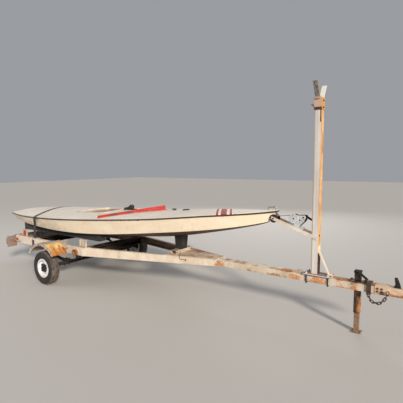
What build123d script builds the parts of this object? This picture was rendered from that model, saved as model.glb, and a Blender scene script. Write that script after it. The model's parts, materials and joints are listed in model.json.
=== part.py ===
from build123d import *
import math
import os

# A decked board boat, strapped down on a two-wheeled boat trailer that stands on its wheels and
# jack leg. Millimetres. While it is built, x runs forward from the axle, y to port and z up from
# the ground. At export everything moves so that the origin is under the middle of the whole length.

# Boat
hull_length = 4190.0
hull_beam = 1240.0
hull_depth = 280.0
crown_share = 0.085
deck_lip = 12.0
rub_rail_height = 15.0
rub_rail_width = 9.0
boat_pitch = 3.0
boat_base_x = 750.0
boat_base_z = 562.0
boat_bow_x = 1984.0
stem_rake_run = 99.0
stem_half_width = 12.0
fit_gap = 0.3
# Clearance where both surfaces are curved
round_gap = 0.8

# Trailer
track = 1540.0
tyre_radius = 207.0
tyre_width = 122.0
rim_radius = 115.5
bead_radius = 103.5
rim_width = 100.0
wheel_hole_radius = 13.5
spindle_radius = 12.5
axle_radius = 22.0
frame_top = 450.0
rail_outer_y = 510.0
rail_rear_x = -1150.0
rail_bend_x = 350.0
rail_front_x = 2050.0
rail_height = 105.0
rail_flange = 40.0
rail_wall = 5.0
tongue_width = 78.0
tongue_height = 70.0
tongue_wall = 4.0
tongue_rear_x = 1700.0
tongue_front_x = 3662.0
coupler_tip_x = 3970.0
ball_radius = 25.9
post_x = 3079.0
post_length_x = 60.0
post_width_y = 75.0
post_wall = 4.0
post_top = 1985.0
crutch_top = 2160.0
jack_x = 3450.0
jack_outer = 50.0
jack_inner = 40.0
jack_slack = 0.6
jack_tube_bottom = 176.0
jack_tube_top = 530.0


# Plain solids

def block(x0, x1, y0, y1, z0, z1):
    return Pos((x0 + x1) / 2, (y0 + y1) / 2, (z0 + z1) / 2) * Box(x1 - x0, y1 - y0, z1 - z0)


def rod(start, end, radius, bore=0):
    axis = Vector(*end) - Vector(*start)
    place = Plane(origin=start, z_dir=axis)
    solid = Solid.make_cylinder(radius, axis.length, place)
    return solid - Solid.make_cylinder(bore, axis.length, place) if bore else solid


def side_prism(points, y0, y1):
    outline = make_face(Polyline(*[(x, y0, z) for x, z in points], close=True))
    return extrude(outline, amount=y1 - y0, dir=(0, 1, 0))


def plan_prism(points, z0, z1):
    outline = make_face(Polyline(*[(x, y, z0) for x, y in points], close=True))
    return extrude(outline, amount=z1 - z0, dir=(0, 0, 1))


def end_prism(points, x0, x1):
    outline = make_face(Polyline(*[(x0, y, z) for y, z in points], close=True))
    return extrude(outline, amount=x1 - x0, dir=(1, 0, 0))


def flat_bar(start, end, width, thickness, across=(0, 1, 0)):
    axis = Vector(*end) - Vector(*start)
    place = Plane(origin=(Vector(*start) + Vector(*end)) * 0.5, x_dir=axis, z_dir=axis.cross(Vector(*across)))
    return place * Box(axis.length, width, thickness)


def square_tube(x0, x1, width, z0, z1, wall):
    half = width / 2
    return block(x0, x1, -half, half, z0, z1) - block(
        x0 - 1, x1 + 1, wall - half, half - wall, z0 + wall, z1 - wall)


def mirrored(shape):
    return mirror(shape, about=Plane.XZ)


def joined(shapes):
    total = shapes[0]
    for shape in shapes[1:]:
        total = total + shape
    return total


# Boat lines, in the boat's own level frame: x forward, z up from the lowest point of the keel

# Columns: share of the length aft of the bow, half beam as a share of half the beam, sheer height,
# chine breadth as a share of the half beam, chine height and keel height as shares of the depth
hull_lines = [
    (1.000, 0.626, 1.086, 0.87, 0.718, 0.604),
    (0.889, 0.853, 1.052, 0.87, 0.617, 0.428),
    (0.770, 0.973, 1.012, 0.87, 0.477, 0.255),
    (0.650, 0.995, 0.990, 0.87, 0.362, 0.115),
    (0.531, 0.956, 0.997, 0.87, 0.325, 0.011),
    (0.412, 0.865, 1.025, 0.86, 0.371, 0.010),
    (0.292, 0.721, 1.067, 0.84, 0.467, 0.138),
    (0.173, 0.505, 1.152, 0.80, 0.577, 0.393),
    (0.054, 0.197, 1.218, 0.70, 0.782, 0.718),
]
stem_foot_z = 0.852 * hull_depth
stem_head_z = 1.290 * hull_depth
boat_place = Pos(boat_base_x, 0, boat_base_z) * Rot(0, -boat_pitch, 0)
stern_x = boat_bow_x - hull_length


def station_values(line):
    share, half_share, sheer, chine_share, chine, keel = line
    half = half_share * hull_beam / 2
    return (boat_bow_x - share * hull_length, half, sheer * hull_depth, chine_share * half,
            chine * hull_depth, keel * hull_depth)


def section_face(points):
    keel, chine, sheer, crown, sheer_far, chine_far = points
    edges = [Line(keel, chine), Line(chine, sheer), ThreePointArc(sheer, crown, sheer_far),
             Line(sheer_far, chine_far), Line(chine_far, keel)]
    return make_face(edges)


def station_section(line, grow):
    x, half, sheer, chine_y, chine, keel = station_values(line)
    crown = sheer + crown_share * half
    x -= grow if line is hull_lines[0] else 0
    return section_face([
        (x, 0, keel - grow), (x, chine_y + grow, chine - grow), (x, half + grow, sheer + grow),
        (x, 0, crown + grow), (x, -half - grow, sheer + grow), (x, -chine_y - grow, chine - grow)])


def stem_section(grow):
    slope = stem_rake_run / (stem_head_z - stem_foot_z)
    foot_x = boat_bow_x - stem_rake_run

    def at(y, z):
        return (foot_x + (z - stem_foot_z) * slope + grow, y, z)

    foot_half = stem_half_width / 3
    low = stem_foot_z - grow
    high = stem_head_z + grow
    return section_face([
        at(0, low), at(foot_half + grow, low + foot_half), at(stem_half_width + grow, high),
        at(0, high + 1), at(-stem_half_width - grow, high), at(-foot_half - grow, low + foot_half)])


def hull_body(grow=0.0):
    return loft([station_section(line, grow) for line in hull_lines] + [stem_section(grow)])


def sheer_curve(drop):
    points = [(station_values(line)[0], 0, station_values(line)[2] - drop) for line in hull_lines]
    first, last = points[0], points[-1]
    points[0] = (first[0] - 60, 0, first[2] + 2)
    points.append((boat_bow_x + 60, 0, stem_head_z + 2 - drop))
    return points


def sheer_band(top_drop, bottom_drop):
    upper = Spline(*sheer_curve(top_drop))
    lower = Spline(*sheer_curve(bottom_drop))
    outline = make_face([upper, lower, Line(upper @ 0, lower @ 0), Line(upper @ 1, lower @ 1)])
    return extrude(outline, amount=hull_beam, dir=(0, 1, 0), both=True)


def lines_at(x):
    # Half beam, sheer, chine breadth and chine height at x, straight between the stations
    rows = [station_values(line) for line in hull_lines] + [
        (boat_bow_x, stem_half_width, stem_head_z, stem_half_width / 3, stem_foot_z, stem_foot_z)]
    for aft, fore in zip(rows, rows[1:]):
        if x <= fore[0]:
            t = max(0, (x - aft[0]) / (fore[0] - aft[0]))
            return [a + t * (f - a) for a, f in zip(aft[1:5], fore[1:5])]
    return rows[-1][1:5]


def deck_height(x, y=0.0):
    half, sheer = lines_at(x)[:2]
    return sheer + crown_share * half * (1 - (y / half) ** 2)


body = hull_body()
body_up = Pos(0, 0, fit_gap) * body

# Cockpit well: a straight-sided footwell with raised coaming, its floor clear of the V bottom
cockpit_x0 = -790.0
cockpit_x1 = -190.0
cockpit_half = 282.0
cockpit_corner = 70.0
cockpit_floor = 66.0
cockpit_taper = 42.0
cockpit_wall = 5.0
coaming_width = 24.0
coaming_height = 6.0


def rounded_plan(x0, x1, half, corner, z):
    return Pos((x0 + x1) / 2, 0, z) * RectangleRounded(x1 - x0, 2 * half, corner)


def well_shape(inset, floor, top):
    low = rounded_plan(cockpit_x0 + cockpit_taper + inset, cockpit_x1 - cockpit_taper - inset,
                       cockpit_half - cockpit_taper - inset, cockpit_corner - inset, floor)
    high = rounded_plan(cockpit_x0 + inset, cockpit_x1 - inset, cockpit_half - inset,
                        cockpit_corner - inset, top)
    return loft([low, high])


well_top = hull_depth * 1.3
well_outside = well_shape(0, cockpit_floor, well_top)
well_inside = well_shape(cockpit_wall, cockpit_floor + cockpit_wall, well_top + 1)
well_cut = well_shape(-fit_gap, cockpit_floor - fit_gap, well_top)

# Daggerboard trunk and mast step
trunk_x = 260.0
trunk_length = 330.0
trunk_slot = 26.0
trunk_wall = 4.0
trunk_rim = 12.0
mast_x = 860.0
mast_hole = 30.0
mast_wall = 4.0
mast_floor = 70.0
collar_flange = 6.0
collar_height = 9.0


def slot_column(grow, z0, z1):
    plan = Pos(trunk_x, 0, z0) * SlotOverall(trunk_length + 2 * grow, trunk_slot + 2 * grow)
    return extrude(plan, amount=z1 - z0)


trunk_top = deck_height(trunk_x) + 4
mast_deck = deck_height(mast_x)
mast_outer = mast_hole + mast_wall
mast_well = Pos(mast_x, 0, mast_floor + (well_top - mast_floor) / 2) * Cylinder(
    mast_outer + fit_gap, well_top - mast_floor)
hollows = well_cut + slot_column(trunk_wall + fit_gap, -50, well_top) + mast_well
above_sheer = sheer_band(-hull_depth, deck_lip)


def hull():
    return (body - above_sheer) - hollows


def deck():
    return (body & above_sheer) - hollows


def rub_rail():
    wide = hull_body(rub_rail_width)
    band = sheer_band(deck_lip - rub_rail_height / 3, deck_lip + rub_rail_height * 2 / 3)
    return (wide - body) & band


def cockpit_tub():
    shell = (well_outside - well_inside) & body
    ring_plan = rounded_plan(cockpit_x0 - coaming_width, cockpit_x1 + coaming_width,
                             cockpit_half + coaming_width, cockpit_corner + coaming_width, cockpit_floor)
    ring = extrude(ring_plan, amount=well_top) - well_inside
    above_floor = block(cockpit_x0 - 99, cockpit_x1 + 99, -hull_beam, hull_beam, hull_depth * 0.8, well_top * 2)
    lip = (Pos(0, 0, coaming_height) * body - body) & ring & above_floor
    return shell + lip


def daggerboard_trunk():
    liner = (slot_column(trunk_wall, -50, well_top) & body) - slot_column(0, -60, well_top)
    rim = slot_column(trunk_rim, hull_depth * 0.8, well_top) - slot_column(0, -60, well_top)
    return liner + ((Pos(0, 0, 4) * body - body) & rim)


def mast_step():
    top = mast_deck + collar_height
    low = mast_floor + fit_gap
    tube = rod((mast_x, 0, low), (mast_x, 0, top), mast_outer)
    collar = rod((mast_x, 0, mast_deck - collar_height), (mast_x, 0, top), mast_outer + collar_flange)
    bore = rod((mast_x, 0, low + mast_wall * 2), (mast_x, 0, well_top), mast_hole)
    return tube + (collar - body_up) - bore


# Splash guard: a V-shaped rail round the mast foot, highest at its point and swept aft
guard_tip_x = 545.0
guard_end_x = -15.0
guard_edge_margin = 27.0
guard_end_y = lines_at(guard_end_x)[0] - guard_edge_margin
guard_wall = 9.0
guard_foot = 22.0
guard_height_tip = 58.0
guard_height_end = 30.0


def guard_strip(half_width):
    return [(guard_tip_x + half_width * 1.4, 0), (guard_end_x + half_width, guard_end_y),
            (guard_end_x - half_width, guard_end_y), (guard_tip_x - half_width * 1.4, 0),
            (guard_end_x - half_width, -guard_end_y), (guard_end_x + half_width, -guard_end_y)]


def splashguard():
    tip_z = deck_height(guard_tip_x) + guard_height_tip
    end_z = deck_height(guard_end_x, guard_end_y) + guard_height_end
    low = deck_height(guard_end_x, guard_end_y) - 20
    profile = side_prism([(guard_end_x - 60, low), (guard_tip_x + 60, low), (guard_tip_x + 60, tip_z),
                          (guard_tip_x, tip_z), (guard_end_x, end_z), (guard_end_x - 60, end_z)],
                         -guard_end_y, guard_end_y)
    wall = plan_prism(guard_strip(guard_wall / 2), low, tip_z) & profile
    foot = plan_prism(guard_strip(guard_foot), low, tip_z) & (
        Pos(0, 0, 4 + fit_gap) * body - body_up)
    return (wall - body_up) + foot


# Deck fittings
cleat_x = 688.0
cleat_half = 36.0
cleat_rise = 14.0
cleat_horn = 5.0
handle_x0 = 1872.0
handle_x1 = 1957.0
handle_rod = 6.0
handle_rise = 24.0
block_x0 = -130.0
block_x1 = 40.0
eye_place = 0.66
eye_rod = 4.0
eye_half = 12.0
eye_reach = 24.0

gudgeon_z = hull_lines[0][2] * hull_depth - 78
gudgeon_pin = 4.0
gudgeon_reach = 24.0


def seated(shape):
    return shape - body_up


def halyard_cleat():
    # Two legs on a base plate carry a horn whose ends taper
    z = deck_height(cleat_x)
    base = plan_prism([(cleat_x - 30, 0), (cleat_x - 20, -11), (cleat_x + 20, -11), (cleat_x + 30, 0),
                       (cleat_x + 20, 11), (cleat_x - 20, 11)], z - 10, z + 4)
    legs = joined([block(x - 4, x + 4, -cleat_horn, cleat_horn, z, z + cleat_rise)
                   for x in (cleat_x - 12, cleat_x + 12)])
    horn = revolve(make_face(Polyline(
        (-cleat_half, 0), (-cleat_half, cleat_horn * 0.55), (-14, cleat_horn), (14, cleat_horn),
        (cleat_half, cleat_horn * 0.55), (cleat_half, 0), close=True)), axis=Axis.X)
    return seated(base + legs + Pos(cleat_x, 0, z + cleat_rise) * horn)


def bow_handle():
    z0 = deck_height(handle_x0)
    z1 = deck_height(handle_x1)
    grip = FilletPolyline((handle_x0, 0, z0 - 5), (handle_x0 + 4, 0, z0 + handle_rise),
                          (handle_x1 - 4, 0, z1 + handle_rise), (handle_x1, 0, z1 - 5), radius=13)
    bar = sweep(Plane(origin=grip @ 0, z_dir=grip % 0) * Circle(handle_rod), path=grip)
    feet = [Pos(x, 0, z) * Cylinder(handle_rod * 1.6, 12) for x, z in ((handle_x0, z0), (handle_x1, z1))]
    return seated(bar + feet[0] + feet[1])


def stem_plane():
    # Origin on the stem where the eye sits, x up the stem and z straight out from it
    foot = Vector(boat_bow_x - stem_rake_run, 0, stem_foot_z)
    head = Vector(boat_bow_x, 0, stem_head_z)
    up = (head - foot).normalized()
    return Plane(origin=foot + (head - foot) * eye_place, x_dir=up, z_dir=(up.Z, 0, -up.X))


def bow_eye():
    # A bent rod on a back plate, welded to it
    plate = block(-eye_half - 5, eye_half + 5, -7, 7, fit_gap, fit_gap + 3)
    bow = FilletPolyline((-eye_half, 0, 2), (-eye_half, 0, eye_reach), (eye_half, 0, eye_reach),
                         (eye_half, 0, 2), radius=eye_half * 0.6)
    bent = sweep(Plane(origin=bow @ 0, z_dir=bow % 0) * Circle(eye_rod), path=bow)
    return stem_plane().location * (plate + bent)


def mainsheet_block():
    z = deck_height((block_x0 + block_x1) / 2)
    base = block(block_x0, block_x1, -38, 38, z - 18, z + 10)
    cheek = side_prism([(block_x0 + 20, z), (block_x1 - 15, z), (block_x1 - 35, z + 46),
                        (block_x1 - 75, z + 52), (block_x0 + 30, z + 26)], -16, 16)
    sheave = rod((block_x1 - 55, -21, z + 40), (block_x1 - 55, 21, z + 40), 25)
    jaws = block(block_x0 + 8, block_x0 + 58, -30, 30, z, z + 30)
    return seated(base + cheek + sheave + jaws)


def rudder_gudgeon():
    z = gudgeon_z
    plate = block(stern_x - 5 - fit_gap, stern_x - fit_gap, -28, 28, z - 40, z + 40)
    arms = joined([block(stern_x - 34, stern_x - 4, -9, 9, z + s * 26 - 7, z + s * 26 + 7) for s in (-1, 1)])
    pin_x = stern_x - gudgeon_reach
    return plate + arms - rod((pin_x, 0, z - 60), (pin_x, 0, z + 60), gudgeon_pin)


placed_body = boat_place * body
placed_down = Pos(0, 0, -fit_gap) * placed_body


def boat_point(x, y, z):
    return (boat_place * Pos(x, y, z)).position


# Frame: two channel rails that close in on a square tongue
def rail_plan(outer, inner):
    front_y = tongue_width / 2 + rail_flange
    return [(rail_rear_x, rail_outer_y - outer), (rail_bend_x, rail_outer_y - outer),
            (rail_front_x, front_y - outer), (rail_front_x, front_y - inner),
            (rail_bend_x, rail_outer_y - inner), (rail_rear_x, rail_outer_y - inner)]


def rail_side(inset):
    low = frame_top - rail_height + inset
    return [(rail_rear_x, low), (rail_bend_x, low), (rail_front_x, frame_top - tongue_height + inset),
            (rail_front_x, frame_top - inset), (rail_rear_x, frame_top - inset)]


def rail_outline_y(x):
    front_y = tongue_width / 2 + rail_flange
    t = max(0, (x - rail_bend_x) / (rail_front_x - rail_bend_x))
    return rail_outer_y + t * (front_y - rail_outer_y)


def rail_section(wall):
    return side_prism(rail_side(wall), 0, rail_outer_y) & plan_prism(
        rail_plan(wall, rail_flange + (1 if wall else 0)), frame_top - rail_height, frame_top)


cross_tube_x = 250.0
cross_tube_z = 383.0
cross_tube_radius = 36.0
cross_tube_wall = 4.0
cross_tube_reach = 40.0
rail_full = rail_section(0)


def frame_rail():
    tube_hole = rod((cross_tube_x, 0, cross_tube_z), (cross_tube_x, rail_outer_y + 9, cross_tube_z),
                    cross_tube_radius + fit_gap)
    return rail_full - rail_section(rail_wall) - tube_hole


def cross_tube():
    reach = rail_outer_y + cross_tube_reach
    return rod((cross_tube_x, -reach, cross_tube_z), (cross_tube_x, reach, cross_tube_z),
               cross_tube_radius, cross_tube_radius - cross_tube_wall)


def tongue():
    low = frame_top - tongue_height
    tube = square_tube(tongue_rear_x, tongue_front_x, tongue_width, low, frame_top, tongue_wall)
    hole = jack_outer / 2 + fit_gap
    return tube - block(jack_x - hole, jack_x + hole, -hole, hole, low - 9, frame_top + 9)


gusset_x0 = 1450.0
gusset_thick = 6.0


def gusset_plate():
    y0 = rail_outline_y(gusset_x0)
    y1 = rail_outline_y(rail_front_x)
    return plan_prism([(gusset_x0, y0), (rail_front_x, y1), (rail_front_x, -y1), (gusset_x0, -y0)],
                      frame_top, frame_top + gusset_thick)


# Columns: node, rear x, length along x, height
crossbeams = [
    ("front_crossbeam", 420.0, 80.0, 82.0),
    ("rear_bunk_beam", -685.0, 80.0, 82.0),
]
crossbeam_wall = 5.0
end_beam_length = 60.0


def crossbeam(rear_x, length, height):
    z0 = frame_top - height
    reach = rail_outline_y(rear_x + length)
    beam = block(rear_x, rear_x + length, -reach, reach, z0, frame_top) - block(
        rear_x + crossbeam_wall, rear_x + length + 1, -reach - 1, reach + 1,
        z0 + crossbeam_wall, frame_top - crossbeam_wall)
    return beam - rail_full - mirrored(rail_full)


def rear_crossbeam():
    z0 = frame_top - rail_height
    x0 = rail_rear_x - end_beam_length
    wall = tongue_wall
    return block(x0, rail_rear_x, -rail_outer_y, rail_outer_y, z0, frame_top) - block(
        x0 + wall, rail_rear_x - wall, -rail_outer_y - 1, rail_outer_y + 1, z0 + wall, frame_top - wall)


# Tail lamps on plates outboard of the rear crossbeam, side markers on the rails and bunk brackets
plate_reach = 140.0
plate_low = 295.0
plate_thick = 3.0
lamp_depth = 48.0
marker_x = rail_rear_x + 30.0
marker_radius = 17.0
flag_half = 22.0


def lamp_plates():
    x = rail_rear_x
    plate = block(x - plate_thick, x, rail_outer_y, rail_outer_y + plate_reach, plate_low, frame_top)
    ear = block(x - end_beam_length, x, rail_outer_y, rail_outer_y + plate_thick,
                frame_top - rail_height, frame_top)
    return [plate + ear, mirrored(plate + ear)]


def tail_lamps():
    x = rail_rear_x - plate_thick
    mid_y = rail_outer_y + plate_reach / 2 + 4
    mid_z = (plate_low + frame_top) / 2
    lamp = block(x - lamp_depth, x, mid_y - 58, mid_y + 58, mid_z - 42, mid_z + 42)
    lamp = fillet(lamp.faces().sort_by(Axis.X)[0].edges(), 10)
    marker_z = frame_top - rail_height / 2
    marker = rod((marker_x, rail_outer_y, marker_z), (marker_x, rail_outer_y + 14, marker_z), marker_radius)
    side = bracket_outer_y + fit_gap
    flag_z = (frame_top + bracket_wall + bunk_bottom) / 2
    flag = block(bracket_rear_x - flag_half, bracket_rear_x + flag_half, side, side + 16,
                 flag_z - 30, flag_z + 30)
    return [shape for one in (lamp, marker, flag) for shape in (one, mirrored(one))]


# Bunks: padded timbers under the hull, on brackets that stand on the rails
bunk_x0 = -1030.0
bunk_x1 = 620.0
bunk_y0 = 355.0
bunk_y1 = 445.0
bunk_bottom = 545.0
bracket_rear_x = -976.0
bracket_front_x = 349.5
bracket_width = 115.0
bracket_wall = 6.0
bracket_flange = 18.0
bracket_outer_y = rail_outer_y - 34.0


def bunk():
    timber = block(bunk_x0, bunk_x1, bunk_y0, bunk_y1, bunk_bottom, bunk_bottom + 120)
    return timber - placed_down


def bunk_brackets():
    # A channel that stands on the rail with its flanges outward, under a shelf for the timber
    shapes = []
    for x in (bracket_rear_x, bracket_front_x):
        x0, x1 = x - bracket_width / 2, x + bracket_width / 2
        inner_y = bracket_outer_y - bracket_wall
        foot = block(x0, x1, inner_y, rail_outer_y, frame_top, frame_top + bracket_wall)
        channel = block(x0, x1, inner_y, bracket_outer_y + bracket_flange, frame_top, bunk_bottom) - block(
            x0 + bracket_wall, x1 - bracket_wall, bracket_outer_y, rail_outer_y, frame_top - 1, bunk_bottom + 1)
        shelf = block(x0, x1, bunk_y0, bracket_outer_y, bunk_bottom - bracket_wall, bunk_bottom)
        shapes += [foot + channel + shelf, mirrored(foot + channel + shelf)]
    return shapes


cradle_x0 = 1476.0
cradle_x1 = 1556.0
cradle_flare = 18.0
cradle_half = 55.0
cradle_beam_half = 150.0
cradle_beam_height = 40.0
cradle_low = frame_top + gusset_thick


def cradle_beam():
    high = cradle_low + cradle_beam_height
    wall = tongue_wall
    return block(cradle_x0, cradle_x1, -cradle_beam_half, cradle_beam_half, cradle_low, high) - block(
        cradle_x0 + wall, cradle_x1 - wall, -cradle_beam_half - 1, cradle_beam_half + 1,
        cradle_low + wall, high - wall)


def keel_cradle():
    low = cradle_low + cradle_beam_height
    high = low + 180
    outline = [(cradle_x0, low), (cradle_x1, low), (cradle_x1 + cradle_flare, high),
               (cradle_x0 - cradle_flare, high)]
    return side_prism(outline, -cradle_half, cradle_half) - placed_down


# Axle, leaf springs and fenders
axle_length = 2 * 660.0
spindle_end = 800.0
spring_y = rail_outer_y - rail_flange / 2
spring_width = 44.0
spring_front_x = 262.0
spring_rear_x = -330.0
spring_eye_z = 318.0
spring_eye_radius = 14.0
spring_pin_radius = 7.0
leaf_thick = 7.0
spring_sag = 66.0
# Share of the half span that each leaf reaches, longest first
leaf_spans = [1.0, 0.72, 0.46]
spring_mid_x = (spring_front_x + spring_rear_x) / 2
spring_half_span = (spring_front_x - spring_rear_x) / 2
spring_radius = (spring_half_span ** 2 + spring_sag ** 2) / (2 * spring_sag)
spring_low = spring_eye_z - spring_sag


def leaf_spring():
    centre = Pos(spring_mid_x, spring_y, spring_low + spring_radius) * Rot(90, 0, 0)
    leaves = []
    for number, span in enumerate(leaf_spans):
        inner = spring_radius + number * leaf_thick
        ring = centre * (Cylinder(inner + leaf_thick, spring_width) - Cylinder(inner, spring_width))
        reach = span * spring_half_span
        leaves.append(ring & block(spring_mid_x - reach, spring_mid_x + reach, 0, rail_outer_y + 99,
                                   spring_low - 99, spring_eye_z))
    eyes = []
    holes = []
    for x in (spring_front_x, spring_rear_x):
        start = (x, spring_y - spring_width / 2, spring_eye_z)
        end = (x, spring_y + spring_width / 2, spring_eye_z)
        eyes.append(rod(start, end, spring_eye_radius))
        holes.append(rod(start, end, spring_pin_radius + fit_gap))
    return joined(leaves + eyes) - joined(holes)


def spring_hangers():
    shapes = []
    low = spring_eye_z - spring_eye_radius - 4
    high = frame_top - rail_height
    outer = spring_width / 2 + fit_gap
    for x in (spring_front_x, spring_rear_x):
        hanger = rod((x, spring_y - outer - 9, spring_eye_z), (x, spring_y + outer + 9, spring_eye_z),
                     spring_pin_radius)
        for side in (-1, 1):
            y = spring_y + side * (outer + 2.5)
            hanger = hanger + block(x - 20, x + 20, y - 2.5, y + 2.5, low, high)
        hanger = hanger + block(x - 20, x + 20, spring_y - outer - 5, spring_y + outer + 5, high - 5, high)
        shapes += [hanger, mirrored(hanger)]
    return shapes


def axle():
    beam = rod((0, -axle_length / 2, tyre_radius), (0, axle_length / 2, tyre_radius), axle_radius)
    spindle = rod((0, -spindle_end, tyre_radius), (0, spindle_end, tyre_radius), spindle_radius)
    spring_face = spring_radius + len(leaf_spans) * leaf_thick
    seat_z = spring_low + spring_radius - math.sqrt(spring_face ** 2 - spring_mid_x ** 2)
    seats = []
    for side in (-1, 1):
        y = side * spring_y
        seats.append(block(-30, 30, y - spring_width / 2, y + spring_width / 2, tyre_radius - 10, seat_z + 12))
    centre = Pos(spring_mid_x, 0, spring_low + spring_radius) * Rot(90, 0, 0)
    clear = centre * Cylinder(spring_face + fit_gap, 2 * rail_outer_y + 99)
    return beam + spindle + joined([seat - clear for seat in seats])


fender_inner_y = 660.0
fender_outer_y = 860.0
fender_thick = 3.0
fender_skirt = 32.0
fender_x = 36.0
fender_z = 216.0
fender_radius = 311.0
fender_front_angle = 37.0
fender_rear_angle = 147.0
fender_stays = (-95.0, 70.0)
stay_low = 412.0
stay_thick = 6.0


def fender_band(y0, y1, outer, inner):
    return rod((fender_x, y0, fender_z), (fender_x, y1, fender_z), outer, inner)


def fender():
    # One rolled sheet with a turned-down skirt outboard, on two stays from the rail
    reach = 2 * fender_radius
    ends = [(fender_x + reach * math.cos(math.radians(a)), fender_z + reach * math.sin(math.radians(a)))
            for a in (fender_front_angle, fender_rear_angle)]
    wedge = side_prism([(fender_x, fender_z), ends[0], (fender_x, fender_z + 2 * reach), ends[1]],
                       0, fender_outer_y + 1)
    sheet = fender_band(fender_inner_y, fender_outer_y, fender_radius, fender_radius - fender_thick)
    skirt = fender_band(fender_outer_y - fender_thick, fender_outer_y, fender_radius, fender_radius - fender_skirt)
    inner_y = fender_inner_y + 28
    stays = joined([block(x - 20, x + 20, rail_outer_y, inner_y, stay_low, stay_low + stay_thick)
                    + block(x - stay_thick / 2, x + stay_thick / 2, rail_outer_y, inner_y, stay_low,
                            fender_z + fender_radius) for x in fender_stays])
    under = fender_band(0, fender_outer_y, fender_radius - fender_thick / 2, 0)
    return ((sheet + skirt) & wedge) + (stays & under)


# Wheels: each is built about its own centre with the outboard side towards +y
tyre_half = tyre_width / 2
rim_half = rim_width / 2
lug_circle = 50.8
lug_radius = 5.5
hub_flange_radius = 62.0
hub_face = 28.0
disc_thick = 4.0
hub_cap_radius = 25.0
cap_reach = 60.0
bead_half = rim_half - 5.0


def tyre():
    side = bead_half - fit_gap
    bead = [(bead_radius, side), (rim_radius + fit_gap, side), (rim_radius + 2, tyre_half - 10)]
    shoulder = (tyre_radius - 13, tyre_half - 8)
    tread_edge = (tyre_radius - 1, tyre_half - 26)
    edges = [Line(bead[0], bead[1]), Line(bead[1], bead[2]),
             ThreePointArc(bead[2], (tyre_radius - 50, tyre_half - 0.5), shoulder),
             ThreePointArc(shoulder, (tyre_radius - 4, tyre_half - 15), tread_edge)]
    edges += [mirror(edge, about=Plane.XZ) for edge in edges]
    edges.append(ThreePointArc(tread_edge, (tyre_radius, 0), (tread_edge[0], -tread_edge[1])))
    edges.append(Line((bead_radius, side), (bead_radius, -side)))
    solid = revolve(make_face(edges), axis=Axis.Y)
    for y in (-24, 0, 24):
        groove = Rot(90, 0, 0) * (Cylinder(tyre_radius + 5, 7) - Cylinder(tyre_radius - 6, 7))
        solid = solid - Pos(0, y, 0) * groove
    return solid


def wheel_ring(y0, y1, outer, inner):
    return rod((0, y0, 0), (0, y1, 0), outer, inner)


def lug_places(y):
    return [(lug_circle * math.cos(math.radians(a)), y, lug_circle * math.sin(math.radians(a)))
            for a in (45, 135, 225, 315)]


def rim():
    barrel = bead_radius - fit_gap
    band = wheel_ring(-rim_half, rim_half, barrel, barrel - 4)
    flanges = [wheel_ring(-rim_half, -bead_half, rim_radius, barrel - 4),
               wheel_ring(bead_half, rim_half, rim_radius, barrel - 4)]
    face = [(hub_cap_radius + fit_gap, hub_face), (70, hub_face), (82, hub_face - 16), (barrel - 2, hub_face - 20)]
    dish = revolve(make_face(Polyline(*face, *[(r, y + disc_thick) for r, y in reversed(face)], close=True)),
                   axis=Axis.Y)
    holes = [rod(p, (p[0], hub_face + 30, p[2]), lug_radius + fit_gap) for p in lug_places(hub_face - 9)]
    return joined([band, dish] + flanges) - joined(holes)


def hub():
    barrel = wheel_ring(-48, hub_face, 32, 0)
    flange = wheel_ring(hub_face - 8, hub_face, hub_flange_radius, 0)
    cap = wheel_ring(hub_face, cap_reach, hub_cap_radius, 0)
    cap = fillet(cap.faces().sort_by(Axis.Y)[-1].edges(), 8)
    studs = [rod(p, (p[0], hub_face + 18, p[2]), lug_radius) for p in lug_places(hub_face - 8)]
    nuts = [rod(p, (p[0], p[1] + 10, p[2]), 9.5) for p in lug_places(hub_face + disc_thick)]
    return joined([barrel, flange, cap] + studs + nuts) - wheel_ring(-60, 36, wheel_hole_radius, 0)


# Coupler at the nose of the tongue, for a ball of two inches
coupler_rear_x = 3590.0
coupler_wall = 4.0
socket_x = 3922.0
socket_depth = 46.0
latch_x = 3746.0


def coupler():
    low = frame_top - tongue_height
    half = tongue_width / 2 + coupler_wall + fit_gap
    high = frame_top + coupler_wall + fit_gap
    nose_radius = coupler_tip_x - socket_x
    sleeve = block(coupler_rear_x, tongue_front_x + 20, -half, half, low, high) - block(
        coupler_rear_x - 1, tongue_front_x + fit_gap, -half + coupler_wall, half - coupler_wall,
        low - 1, high - coupler_wall)
    body_plan = [(tongue_front_x + 10, half), (latch_x + 50, 33), (socket_x, 35), (socket_x, -35),
                 (latch_x + 50, -33), (tongue_front_x + 10, -half)]
    neck = plan_prism(body_plan, low, high - 6)
    nose = Pos(socket_x, 0, low) * Cylinder(
        nose_radius, high - low - 10, align=(Align.CENTER, Align.CENTER, Align.MIN))
    dome = Pos(socket_x, 0, high - 14) * Sphere(30)
    bowl = Pos(socket_x, 0, low - 1) * Cylinder(
        ball_radius, socket_depth + 1, align=(Align.CENTER, Align.CENTER, Align.MIN))
    hollow = block(tongue_front_x + 30, socket_x - nose_radius - 12, -27, 27, low - 1, high - 12)
    shell = sleeve + neck + nose + (dome & block(socket_x - 60, socket_x + 60, -60, 60, low + 30, high + 12)) \
        - bowl - hollow
    return shell + chain_pin(chain_pivots()[-1], -half + coupler_wall / 2)


def coupler_latch():
    top = frame_top + coupler_wall + fit_gap - 6
    lever = side_prism([(latch_x - 22, top), (latch_x + 34, top), (latch_x + 26, top + 30),
                        (latch_x + 4, top + 84), (latch_x - 16, top + 80), (latch_x - 8, top + 30)], -11, 11)
    return lever


# Mast post with its base, brace and crutch
base_x0 = 2985.0
base_x1 = 3238.0
base_half = 60.0
base_thick = 10.0
bolt_radius = 6.0
bolt_places = (3010.0, 3205.0)
brace_top_z = 660.0
brace_foot_x = 3213.0
collar_low = 1930.0
collar_top = 2035.0
collar_wall = 4.0
crutch_bar = 40.0


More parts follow.
